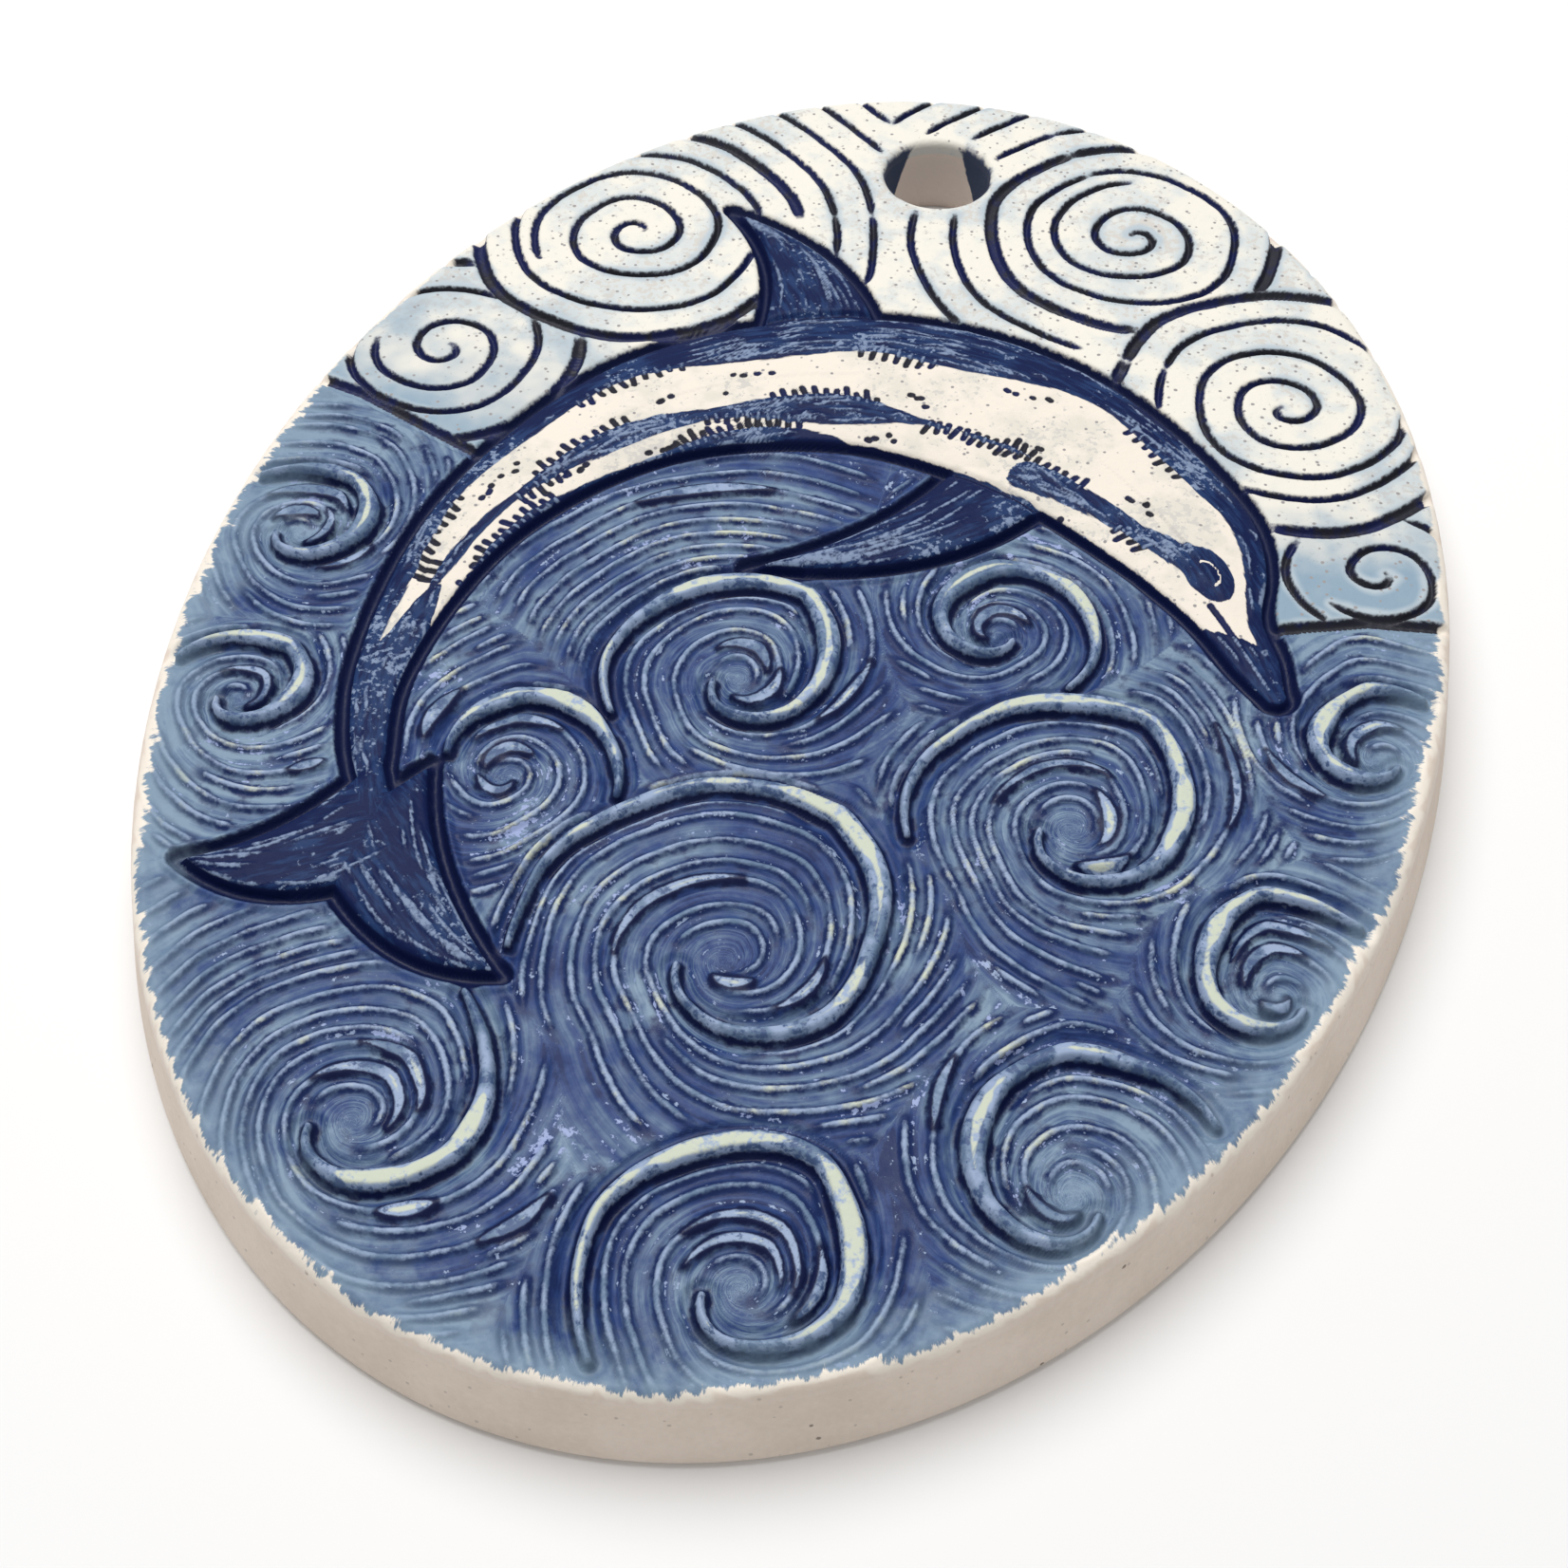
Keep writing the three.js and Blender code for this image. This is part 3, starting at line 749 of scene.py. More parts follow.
def run_tree(made, tree, values):
    """Runs a node tree on an object and keeps the plain mesh that comes out of it"""
    modifier = made.modifiers.new("shape", "NODES")
    modifier.node_group = tree
    for socket in tree.interface.items_tree:
        if socket.in_out == "INPUT" and socket.name in values:
            modifier[socket.identifier] = values[socket.name]
    bpy.context.view_layer.update()
    graph = bpy.context.evaluated_depsgraph_get()
    mesh = bpy.data.meshes.new_from_object(made.evaluated_get(graph), depsgraph=graph)
    made.modifiers.remove(modifier)
    old, made.data = made.data, mesh
    bpy.data.meshes.remove(old)


def disc_grid(columns, rows):
    """Square grid bent to a unit disc, so that the face has no pole"""
    x, y = np.meshgrid(np.linspace(-1, 1, columns + 1), np.linspace(-1, 1, rows + 1))
    wide = np.abs(x) > np.abs(y)
    safe_x, safe_y = np.where(x == 0, 1, x), np.where(y == 0, 1, y)
    angle = np.where(wide, math.pi / 4 * y / safe_x, math.pi / 2 - math.pi / 4 * x / safe_y)
    first = (np.arange(rows)[:, None] * (columns + 1) + np.arange(columns)).ravel()
    quads = np.column_stack([first, first + 1, first + columns + 2, first + columns + 1])
    return np.where(wide, x, y).reshape(-1, 1) * directions(angle.ravel()), quads


# Lean of the straight side wall below the rounded rim
WALL_LEAN = SIDE_FLARE / (FACE_LEVEL - FOOT_ROUNDING)
WALL_ANGLE = math.atan(WALL_LEAN)


def wander(way):
    """How far the hand-cut outline lies inside the true oval, in millimetres"""
    angle = np.arctan2(way[:, 1], way[:, 0])
    return OUTLINE_STRAY * (2 + np.sin(2 * angle + 0.8) + np.sin(5 * angle + 2.1))


def bare_face(disc, rim_radius):
    """Smooth face with its rounded rim: places, normals, distance in from the rim, direction"""
    centre_z = FACE_LEVEL - rim_radius
    centre_in = WALL_LEAN * (centre_z - FOOT_ROUNDING) + rim_radius / math.cos(WALL_ANGLE)
    arc = rim_radius * (math.pi / 2 - WALL_ANGLE)
    wall = (centre_z + rim_radius * math.sin(WALL_ANGLE) - SLAB_TOP) / math.cos(WALL_ANGLE)
    s = np.hypot(*disc.T)
    way = disc / np.maximum(s, 1e-9)[:, None]
    flat = HALF_WIDTH - centre_in
    s_flat = flat / (flat + arc + wall)
    length = np.clip((s - s_flat) / (1 - s_flat), 0, 1) * (arc + wall)
    turn = np.minimum(length, arc) / rim_radius
    down = np.maximum(length - arc, 0)
    inset = centre_in - rim_radius * np.sin(turn) - down * math.sin(WALL_ANGLE) + wander(way)
    z = centre_z + rim_radius * np.cos(turn) - down * math.cos(WALL_ANGLE)
    plan = np.column_stack([HALF_WIDTH - inset, HALF_HEIGHT - inset]) * way
    plan *= np.minimum(s / s_flat, 1)[:, None]
    out = way * [HALF_HEIGHT, HALF_WIDTH]
    out /= np.maximum(np.hypot(*out.T), 1e-9)[:, None]
    normal = np.column_stack([out * np.sin(turn)[:, None], np.cos(turn)])
    from_rim = (1 - s) * np.hypot(*(way * [HALF_WIDTH, HALF_HEIGHT]).T)
    return np.column_stack([plan, z]), normal, from_rim, way


def clay_body():
    """Slab under the face as one closed shape: foot, wall, top, hole and back"""
    turn = np.linspace(0, math.pi / 2, FOOT_POINTS)
    outer = list(zip(FOOT_ROUNDING * (1 - np.sin(turn)), FOOT_ROUNDING * (1 - np.cos(turn))))
    wall = np.linspace(FOOT_ROUNDING, SLAB_TOP, WALL_POINTS)[1:]
    outer += zip(WALL_LEAN * (wall - FOOT_ROUNDING), wall)
    first = np.arange(BODY_SIDES)
    after = (first + 1) % BODY_SIDES
    way = directions(first / BODY_SIDES * 2 * math.pi)
    rings = []
    for inset, z in outer:
        inset = inset + wander(way)
        plan = np.column_stack([HALF_WIDTH - inset, HALF_HEIGHT - inset]) * way
        rings.append(np.column_stack([plan, np.full(BODY_SIDES, z)]))
    towards = plan - HOLE
    towards /= np.hypot(*towards.T)[:, None]
    for z in np.linspace(SLAB_TOP, 0, BORE_POINTS):
        radius = HOLE_RADIUS + HOLE_FLARE * (z == 0)
        rings.append(np.column_stack([HOLE + towards * radius, np.full(BODY_SIDES, z)]))
    quads = []
    for row in range(len(rings)):
        here, there = row * BODY_SIDES, (row + 1) % len(rings) * BODY_SIDES
        quads.append(np.column_stack([here + first, here + after, there + after, there + first]))
    return np.vstack(rings), np.vstack(quads)


def bore_glaze(points):
    """How far outside the glaze that ran down the hole's wall a point is, in millimetres"""
    off = points[:, :2] - HOLE
    turn = np.arctan2(off[:, 1], off[:, 0]) - BARE_BORE_AT
    turn = np.abs((turn + math.pi) % (2 * math.pi) - math.pi)
    reach = BORE_GLAZE_DEPTH * smoothstep(BARE_BORE_FROM, BARE_BORE_TO, turn)
    depth = FACE_LEVEL - points[:, 2]
    glazed = np.minimum(reach - depth, depth - HOLE_LIP / 2)
    return np.where(np.hypot(*off.T) < LIP_RADIUS + 0.01, np.minimum(-glazed, 0.8), 2.0)


def store(mesh, name, values):
    """Keeps one number or vector for each point of a mesh"""
    kind, field = ("FLOAT", "value") if values.ndim == 1 else ("FLOAT_VECTOR", "vector")
    layer = mesh.attributes.new(name, kind, "POINT")
    layer.data.foreach_set(field, np.ascontiguousarray(values, np.float32).ravel())


def paint_borders(share, side):
    """How far inside the dark glaze of the dolphin a point is, in millimetres"""
    half = half_width(share, side)
    cape = (-0.44 + 0.16 * np.sin(share * 13 + 0.4) + 0.06 * np.sin(share * 41) - side) * half
    stripe_mid = 0.4 - 0.14 * np.sin(share * 8.5 - 0.4)
    stripe_wide = 0.21 * smoothstep(0.1, 0.3, share) * (1 - smoothstep(0.58, 0.74, share))
    stripe = (stripe_wide - 0.05 + 0.06 * np.sin(share * 37) - np.abs(side - stripe_mid)) * half
    belly = (side - 0.84 - 0.5 * smoothstep(0.55, 0.65, share) + 0.08 * np.sin(share * 29)) * half
    place = np.column_stack([share * SPINE_LENGTH, side * half])
    face_stripe = -path_distance(FACE_STRIPE, place, FACE_STRIPE_HALF)
    tail = (0.17 + 0.03 * np.sin(side * 4) - share) * SPINE_LENGTH * 0.8
    beak = (share - 0.952 + 0.02 * side) * SPINE_LENGTH * 0.8
    edge = (np.abs(side) - 1) * half + 0.2
    return np.max([cape, stripe, belly, face_stripe, tail, beak, edge], axis=0)


def new_material(name, *layers):
    """New material, its tree, object coordinates, noises for grain, mottling and clouding, and mesh layers"""
    material = bpy.data.materials.new(name)
    material.use_nodes = True
    tree = material.node_tree
    tree.nodes.clear()
    coords = node(tree, "ShaderNodeTexCoord").outputs["Object"]
    noises = [mottling(tree, coords, 1 / (size * MM), detail, 0.62)
              for size, detail in ((GRAIN, 4.0), (MOTTLING, 4.0), (CLOUDING, 3.0))]
    kept = [node(tree, "ShaderNodeAttribute", attribute_name=layer).outputs[
        "Vector" if layer in VECTOR_LAYERS else "Fac"] for layer in layers]
    return material, tree, coords, noises, *kept


def washes(tree, paints, under, layers):
    """Lays washes over a ground. Each is a colour, the mask that it covers below a border, the noise that
    makes its edge a brushed one and how much, the border, and the width of its soft end"""
    for over, mask, noise, strength, border, reach in layers:
        uneven = node(tree, "ShaderNodeMath", {0: noise, 1: strength, 2: mask}, operation="MULTIPLY_ADD")
        share = node(tree, "ShaderNodeMapRange", interpolation_type="SMOOTHSTEP", inputs={
            "Value": uneven, "From Min": border - reach / 2, "From Max": border + reach / 2})
        over, under = (paints[colour] if isinstance(colour, str) else colour for colour in (over, under))
        under = node(tree, "ShaderNodeMix", {0: share, 6: over, 7: under}, data_type="RGBA")
    return under


def streaks(tree, place, scale=(1.0, 1.0, 1.0), detail=3.0, roughness=0.6):
    """Streaky noise, centred on zero, on a place that is stretched first"""
    stretched = node(tree, "ShaderNodeVectorMath", {0: place, 1: scale}, operation="MULTIPLY")
    return mottling(tree, stretched, 1.0, detail, roughness)


def flecks(tree, over, coords, fine, spacing, size):
    """Wash of sparse dark flecks of iron. Their spacing is in millimetres and their size a share of it"""
    cells = node(tree, "ShaderNodeTexVoronoi", {"Vector": coords, "Scale": 1 / (spacing * MM)})
    return over, cells, fine, size * 1.5, size, size / 2


def bare_clay(tree, paints, coords, fine, broad):
    """Colour of unglazed clay: warm beige, clouded, with sparse iron specks"""
    return washes(tree, paints, "clay", [
        ("clay_shade", broad, fine, 0.4, -0.02, 0.5),
        flecks(tree, "clay_pit", coords, fine, 0.9, 0.09),
        flecks(tree, "speck", coords, fine, 2.1, 0.055),
    ])


def rim_wipe(tree, paints, coords, noises, place, border, ridge=None):
    """Washes that thin the glaze towards the rim and end it in a ragged brushed edge on the bare clay,
    through a band of paler clay that is wiped clean and is also a painted highlight on the rounded arris
    """
    fine, middle, broad = noises
    inward = node(tree, "ShaderNodeSeparateXYZ", {0: place}).outputs["Z"]
    drift = node(tree, "ShaderNodeMath", {0: broad, 1: 1.9, 2: inward}, operation="MULTIPLY_ADD")
    thinning, ragged = [], 0.7
    if ridge:
        thinning, ragged = [("sea_thin", drift, middle, 5.5, border + 1.1, 5.0)], 1.7
        proud = node(tree, "ShaderNodeMapRange", interpolation_type="SMOOTHSTEP", inputs={
            "Value": ridge, "From Min": 0.0, "From Max": 0.3, "To Min": -0.25, "To Max": 0.1})
        drift = node(tree, "ShaderNodeMath", {0: drift, 1: proud}, operation="ADD")
    bristles = streaks(tree, place, (3.2, 3.2, 0.9), 5.0, 0.7)
    clay = bare_clay(tree, paints, coords, fine, broad)
    # Band of paler clay where the glaze was wiped clean, laid on the rounded arris so that it is also a
    # painted highlight
    return [*thinning, ("rubbed_clay", drift, bristles, ragged, border, 0.24),
            (clay, drift, middle, 0.6, border - 0.55, 0.4)]


def finish(material, colour, rough, grain, depth, gloss):
    """Surface of a material: what its roughness follows, with the ranges from and to, and a fine grain, whose
    depth is in millimetres"""
    tree = material.node_tree
    inputs = dict(zip(("Value", "From Min", "From Max", "To Min", "To Max"), rough))
    roughness = node(tree, "ShaderNodeMapRange", inputs, interpolation_type="SMOOTHSTEP")
    bump = node(tree, "ShaderNodeBump", {"Height": grain, "Strength": 1.0, "Distance": depth * MM})
    surface = node(tree, "ShaderNodeBsdfPrincipled", {
        "Base Color": colour, "Roughness": roughness, "Normal": bump, "Specular IOR Level": gloss})
    node(tree, "ShaderNodeOutputMaterial", {"Surface": surface})
    return material


def sky_glaze(paints):
    """Satin cream and pale blue glaze, wiped off the lands and pooled dark and glassy in the cuts"""
    material, tree, coords, noises, groove, edge, tone, bore, rim = new_material(
        "wiped satin sky glaze", "groove", "edge", "tone", "bore", "rim_place")
    fine, middle, broad = noises
    cut = washes(tree, paints, "cut_navy", [("cut_brown", broad, middle, 0.8, 0.02, 0.2)])
    colour = washes(tree, paints, "sky_cream", [
        ("sky_blue", broad, middle, 0.4, -0.01, 0.2),
        ("sky_grey", fine, broad, 0.7, -0.1, 0.08),
        ("sky_slate", tone, broad, 1.6, 0.6, 0.9),
        ("sky_halo", groove, broad, 2.0, 0.3, 0.5),
        flecks(tree, "sky_speck", coords, fine, 0.6, 0.16),
        (cut, groove, fine, 0.25, 0.25, 0.12),
        ("outline", edge, fine, 0.25, 0.56, 0.15),
        *rim_wipe(tree, paints, coords, noises, rim, 1.0),
        ("bore_grey", bore, middle, 1.0, 0.0, 0.3),
    ])
    return finish(material, colour, (groove, 0.1, 0.5, 0.4, 0.52), fine, 0.035, GLAZE_GLOSS)


def sea_glaze(paints):
    """Brushed cobalt and slate glaze: deep in the channels, thin and pale where ridges break through it"""
    material, tree, coords, noises, ridge, land, edge, tone, swirl, rim = new_material(
        "brushed cobalt sea glaze", "ridge", "land", "edge", "tone", "swirl", "rim_place")
    fine, middle, broad = noises
    flow = streaks(tree, swirl)
    for noise, strength in ((broad, 2.1), (middle, 0.8), (flow, 1.8)):
        tone = node(tree, "ShaderNodeMath", {0: noise, 1: strength, 2: tone}, operation="MULTIPLY_ADD")
    ramp = node(tree, "ShaderNodeValToRGB", {0: tone})
    stops = ("sea_thin", "sea_slate", "sea_blue", "sea_cobalt", "sea_navy")
    elements = ramp.color_ramp.elements
    while len(elements) < len(stops):
        elements.new(0.5)
    for place, (element, name) in enumerate(zip(elements, stops)):
        element.position = place / (len(stops) - 1)
        element.color = paints[name]
    grain = node(tree, "ShaderNodeMath", {0: fine, 1: flow}, operation="ADD")
    rubbed = node(tree, "ShaderNodeMath", {0: grain, 1: -1.0}, operation="MULTIPLY")
    scarce = node(tree, "ShaderNodeMapRange", interpolation_type="SMOOTHSTEP", inputs={
        "Value": broad, "From Min": -0.08, "From Max": 0.1, "To Min": 0.3, "To Max": 0.0})
    bare = node(tree, "ShaderNodeMath", {0: scarce, 1: land}, operation="ADD")
    pale = washes(tree, paints, "ridge_pale", [("foam", broad, middle, 0.8, -0.14, 0.2)])
    worn = washes(tree, paints, "sea_slate", [(pale, broad, middle, 1.2, 0.08, 0.3)])
    flank = washes(tree, paints, "ridge_pale", [
        ("sea_slate", broad, middle, 0.9, -0.02, 0.25), ("sea_blue", fine, middle, 0.9, -0.06, 0.16)])
    foam = washes(tree, paints, "foam", [("ridge_pale", middle, fine, 0.8, -0.1, 0.2)])
    colour = washes(tree, paints, ramp.outputs["Color"], [
        ("sea_navy", ridge, middle, 1.4, 0.3, 0.4),
        ("ridge_pale", rubbed, middle, 0.5, -0.26, 0.1),
        # Painted highlight: pale violet glints of gloss, laid as scratchy rubs on the sea glaze
        ("sea_scratch", rubbed, broad, 1.3, -0.3, 0.1),
        (worn, ridge, fine, 0.25, 0.12, 0.14),
        # Dark band round the crest and foam lands: glaze pooled in the bed beside them, with painted shade
        # where the raised lands cast shadow
        ("outline", land, middle, 0.9, 0.26, 0.3),
        (flank, land, fine, 0.2, 0.0, 0.1),
        (foam, bare, middle, 0.3, -0.15, 0.12),
        ("outline", edge, fine, 0.25, 0.56, 0.15),
        *rim_wipe(tree, paints, coords, noises, rim, 1.25, ridge),
    ])
    return finish(material, colour, (middle, -0.3, 0.3, 0.3, 0.56), fine, 0.035, GLAZE_GLOSS)


def dolphin_glaze(paints):
    """Cream and navy glazes laid side by side, with carved ticks and streaks where they meet"""
    material, tree, coords, noises, mark, edge, paint, along = new_material(
        "cream and navy dolphin glaze", "mark", "edge", "paint", "along")
    fine, middle, broad = noises
    streak = streaks(tree, along, (1 / 1.8, 1 / 0.35, 1 / 0.35))
    rubbed = node(tree, "ShaderNodeMath", {0: fine, 1: -1.0}, operation="MULTIPLY")
    cut = washes(tree, paints, "cut_navy", [("cut_brown", broad, middle, 0.8, 0.02, 0.2)])
    navy = washes(tree, paints, "body_navy", [
        ("body_blue", broad, streak, 1.3, -0.02, 0.3),
        ("body_scratch", rubbed, broad, 1.0, -0.16, 0.12),
        ("body_scratch", mark, fine, 0.3, 0.06, 0.1),
    ])
    colour = washes(tree, paints, "body_cream", [
        ("body_grey", broad, middle, 0.6, -0.05, 0.2),
        ("sky_grey", fine, broad, 0.9, -0.14, 0.06),
        flecks(tree, "sky_speck", coords, fine, 0.7, 0.13),
        (cut, mark, fine, 0.12, 0.19, 0.07),
        (navy, paint, streak, 0.5, 0.0, 0.1),
        ("outline", edge, fine, 0.25, 0.56, 0.15),
    ])
    return finish(material, colour, (paint, -0.2, 0.2, 0.44, 0.52), fine, 0.03, BODY_GLOSS)


def clay_material(paints):
    """Bare stoneware: fired matt and dry, pale beige with sparse dark iron specks and fine pits"""
    material, tree, coords, noises, bore = new_material("bare stoneware clay", "bore")
    fine, middle, broad = noises
    # The hole's wall is painted a lighter, warmer clay than the rest: painted light, standing in for light
    # reflected into the hole
    colour = washes(tree, paints, bare_clay(tree, paints, coords, fine, broad), [
        ("bore_clay", bore, fine, 0.1, 1.0, 0.1), ("bore_grey", bore, middle, 1.0, 0.0, 0.3)])
    grain = node(tree, "ShaderNodeMath", {0: middle, 1: 0.8, 2: fine}, operation="MULTIPLY_ADD")
    return finish(material, colour, (middle, -0.3, 0.3, 0.78, 0.92), grain, 0.05, CLAY_GLOSS)


def length(name, description, size):
    """Size that a user may change. It is given here in millimetres"""
    return bpy.props.FloatProperty(
        name=name, description=description, default=size * MM, unit="LENGTH", precision=5)


def tint(name, description, code):
    """Colour that a user may change"""
    return bpy.props.FloatVectorProperty(
        name=name, description=description, default=linear(code), size=4, min=0, max=1, subtype="COLOR")


class OrnamentSizes(bpy.types.PropertyGroup):
    """Sizes of the pressing"""

    groove_width: length("Groove width", "Width of the cut cloud lines", 0.6)
    groove_depth: length("Groove depth", "Depth of the cut cloud lines", 0.45)
    ridge_width: length("Ridge width", "Width of the sea's thin ridges, with both their flanks", 0.68)
    ridge_depth: length("Ridge depth", "Depth of the hollows between the sea's ridges", 0.27)
    mark_width: length("Mark width", "Width of the carved marks on the dolphin", 0.42)
    mark_depth: length("Mark depth", "Depth of the carved marks on the dolphin", 0.14)
    rim_radius: length("Rim rounding", "Radius of the soft upper edge", 0.8)
    unevenness: length("Unevenness", "How far the pressed clay strays from flat", 0.05)


class OrnamentColours(bpy.types.PropertyGroup):
    """Colours of the fired glazes and of the bare clay, with painted light in some of them"""

    clay: tint("Clay", "Bare fired clay", "#ecded1")
    clay_shade: tint("Clouded clay", "Clay where it fired darker", "#dfd0c2")
    clay_pit: tint("Clay pit", "Soft grey spots in the clay", "#cabcaf")
    # Clean wiped clay, made paler as a painted highlight along the rim's rounded arris
    rubbed_clay: tint("Rubbed clay", "Clean clay where the glaze was wiped off", "#f3eadd")
    speck: tint("Iron speck", "Specks in the clay", "#94857a")
    sky_cream: tint("Sky cream", "Lands of the sky", "#efeade")
    sky_blue: tint("Sky blue", "Sky where some glaze is left", "#d6dbda")
    sky_grey: tint("Sky grey", "Fine mottling of the pale glazes", "#d3cfc8")
    sky_slate: tint("Low sky", "Sky near the horizon", "#8ea6b8")
    sky_halo: tint("Groove halo", "Thin glaze along the cut lines", "#b9c5cd")
    sky_speck: tint("Glaze speck", "Specks in the pale glazes", "#9c9898")
    cut_navy: tint("Cut line", "Glaze pooled in the cuts", "#1a2250")
    cut_brown: tint("Brown cut line", "Cuts where iron shows", "#2a2a34")
    # Also painted as shade in a band round the sea's crest and foam lands
    outline: tint("Outline", "Deepest glaze, round the dolphin and the crests", "#0c1740")
    sea_thin: tint("Thin sea", "Sea glaze at its thinnest", "#8299ae")
    sea_slate: tint("Slate sea", "Light tone of the sea", "#657c99")
    sea_blue: tint("Blue sea", "Middle tone of the sea", "#485d84")
    sea_cobalt: tint("Cobalt sea", "Strong tone of the sea", "#2b4379")
    sea_navy: tint("Navy sea", "Darkest tone of the sea", "#1b2c5b")
    # Painted highlight: pale violet glints of gloss on the sea glaze
    sea_scratch: tint("Scratches", "Pale violet rubs in the sea", "#9dabd4")
    ridge_pale: tint("Ridge", "Thin ridges where clay shows through", "#99abc9")
    foam: tint("Foam", "Broad lands of foam", "#ccd2c0")
    body_cream: tint("Dolphin cream", "Pale glaze of the dolphin", "#f0e7da")
    body_grey: tint("Dolphin grey", "Pale glaze where it is mottled", "#e2dcd0")
    body_navy: tint("Dolphin navy", "Dark glaze of the dolphin", "#0e1c48")
    body_blue: tint("Dolphin blue", "Dark glaze brushed thin", "#203864")
    body_scratch: tint("Dolphin scratches", "Clay that shows through the dark glaze", "#8293b0")
    # Painted light: clay made lighter and warmer to stand in for light reflected into the hole
    bore_clay: tint("Hole clay", "Clay of the hole's wall, warm with reflected light", "#ffecda")
    bore_grey: tint("Hole glaze", "Glaze that ran into the hole", "#465069")


def chosen(group):
    """Values of a property group by name"""
    return {name: tuple(getattr(group, name)) for name in group.__annotations__}


class PressFace(bpy.types.Operator):
    """Press the sky, the sea, its crests and the dolphin into the face"""

    bl_idname = "ornament.press_face"
    bl_label = "Press the face"

    def execute(self, context):
        sizes = context.scene.ornament_sizes
        disc, quads = disc_grid(*FACE_GRID)
        base, facing, from_rim, way, faces = with_hole(*bare_face(disc, sizes.rim_radius / MM), quads)
        made = mesh_object("pressed_face", base, faces)
        for name, values in face_layers(base, facing, from_rim, way).items():
            store(made.data, name, values)
        values = {"Unevenness": sizes.unevenness, "Grain scale": 1 / (MOTTLING * MM)}
        for name, draw in PRESSED.items():
            values[f"{name} lines"] = stroke_object(f"{name} lines", draw())
            values[f"{name} reach"] = getattr(sizes, f"{name}_width") / 2
            values[f"{name} depth"] = getattr(sizes, f"{name}_depth")
        run_tree(made, pressing_tree(), values)
        for name in PRESSED:
            bpy.data.objects.remove(values[f"{name} lines"])
        split_face(made, chosen(context.scene.ornament_colours))
        return {"FINISHED"}


def face_layers(base, facing, from_rim, way):
    """Everything that the pressing and the glazes read at each point of the face"""
    plan = base[:, :2]
    share, side, body_out = body_place(plan)
    fins_out = {name: fin_distance(name, plan) for name in FINS}
    outline = np.min([body_out, *fins_out.values()], axis=0)
    sky = in_sky(plan)
    to_horizon = path_distance(horizon_line[::10], plan)
    crest_out, crest = land_distance(crest_lands, plan)
    foam_out, _ = land_distance(foam_lands(), plan)

    edge, form = dolphin_form(body_out, side, share, fins_out)
    open_sea = ~sky * smoothstep(0.2, 0.7, outline)
    rise = (CREST_RISE - CREST_BED) * (1 - smoothstep(-0.2, 0.2, crest_out))
    form += open_sea * (CREST_BED * (1 - smoothstep(0.2, 0.75, crest_out)) + rise)
    off_rim = smoothstep(0.3, 0.8, from_rim)
    groove_mask = off_rim * smoothstep(0.2, 0.6, outline) * smoothstep(0.0, 0.5, from_hole(plan) - LIP_RADIUS)
    ridge_mask = smoothstep(0.0, 0.6, to_horizon) * smoothstep(0.9, 2.6, from_rim) * ~sky
    ridge_mask *= (smoothstep(0.5, 1.0, outline) * smoothstep(0.0, 0.4, foam_out)
                   * smoothstep(0.1, 0.6, crest_out))

    paint = np.where(body_out < 0, paint_borders(share, side), 2.0)
    from_eye = (plan - EYE) @ np.array([body_ahead[EYE_ROW], body_right[EYE_ROW]]).T
    to_eye = np.hypot(*(from_eye * [0.6, 1]).T)
    paint = np.where(to_eye < EYE_REACH, np.maximum(paint, 2 * (EYE_PATCH - to_eye)), paint)
    # Painted highlight: a thin pale glint crescent on the upper side of the eye, cut as cream into the dark
    # patch
    glint = np.abs(to_eye - EYE_GLINT) - EYE_GLINT_HALF
    paint = np.where((glint < 0) & (from_eye[:, 1] < 0.1), glint * 8, paint)
    form = form * off_rim + EYE_BEAD_RISE * np.exp(-(to_eye / EYE_BEAD) ** 2)

    owner, own_share = wave_at(plan)
    tone = 0.44 + 0.3 * smoothstep(0.55, 0.95, own_share) * (own_share < 1) + 0.12 * np.sin(owner * 2.4)
    tone -= 0.24 * (1 - smoothstep(2, 14, from_rim)) + 0.12 * (1 - smoothstep(4, 15, to_horizon))
    tone = np.where(sky, (plan[:, 1] - HORIZON_FLOOR * FACE_HALF[1]) / LOW_SKY, tone)

    body_frame = np.column_stack([share * SPINE_LENGTH, side * half_width(share, side)])
    along = np.where((body_out > 0)[:, None], fin_place(plan), body_frame)
    zone = np.where((crest_out < 0) & ~sky & (outline > 0), len(ZONES) + crest, np.where(sky, 0, 1))
    for number, name in enumerate(FINS):
        zone = np.where(fins_out[name] < 0, 3 + number, zone)
    zone = np.where(body_out < 0, 2, zone)
    level = np.zeros(len(plan))
    return {
        "plan": np.column_stack([plan, level]) * MM, "facing": facing, "form": form * MM,
        "groove_mask": groove_mask, "ridge_mask": ridge_mask,
        "mark_mask": smoothstep(0.2, 0.6, -outline) * np.where(paint > 0, -0.6, 1.0),
        "edge": edge, "paint": -paint, "tone": tone, "land": np.minimum(crest_out, foam_out),
        "bore": bore_glaze(base), "swirl": swirl_place(plan, owner),
        "rim_place": np.column_stack([way * 38, from_rim]), "along": np.column_stack([along, level]),
        "zone": zone.astype(float),
    }


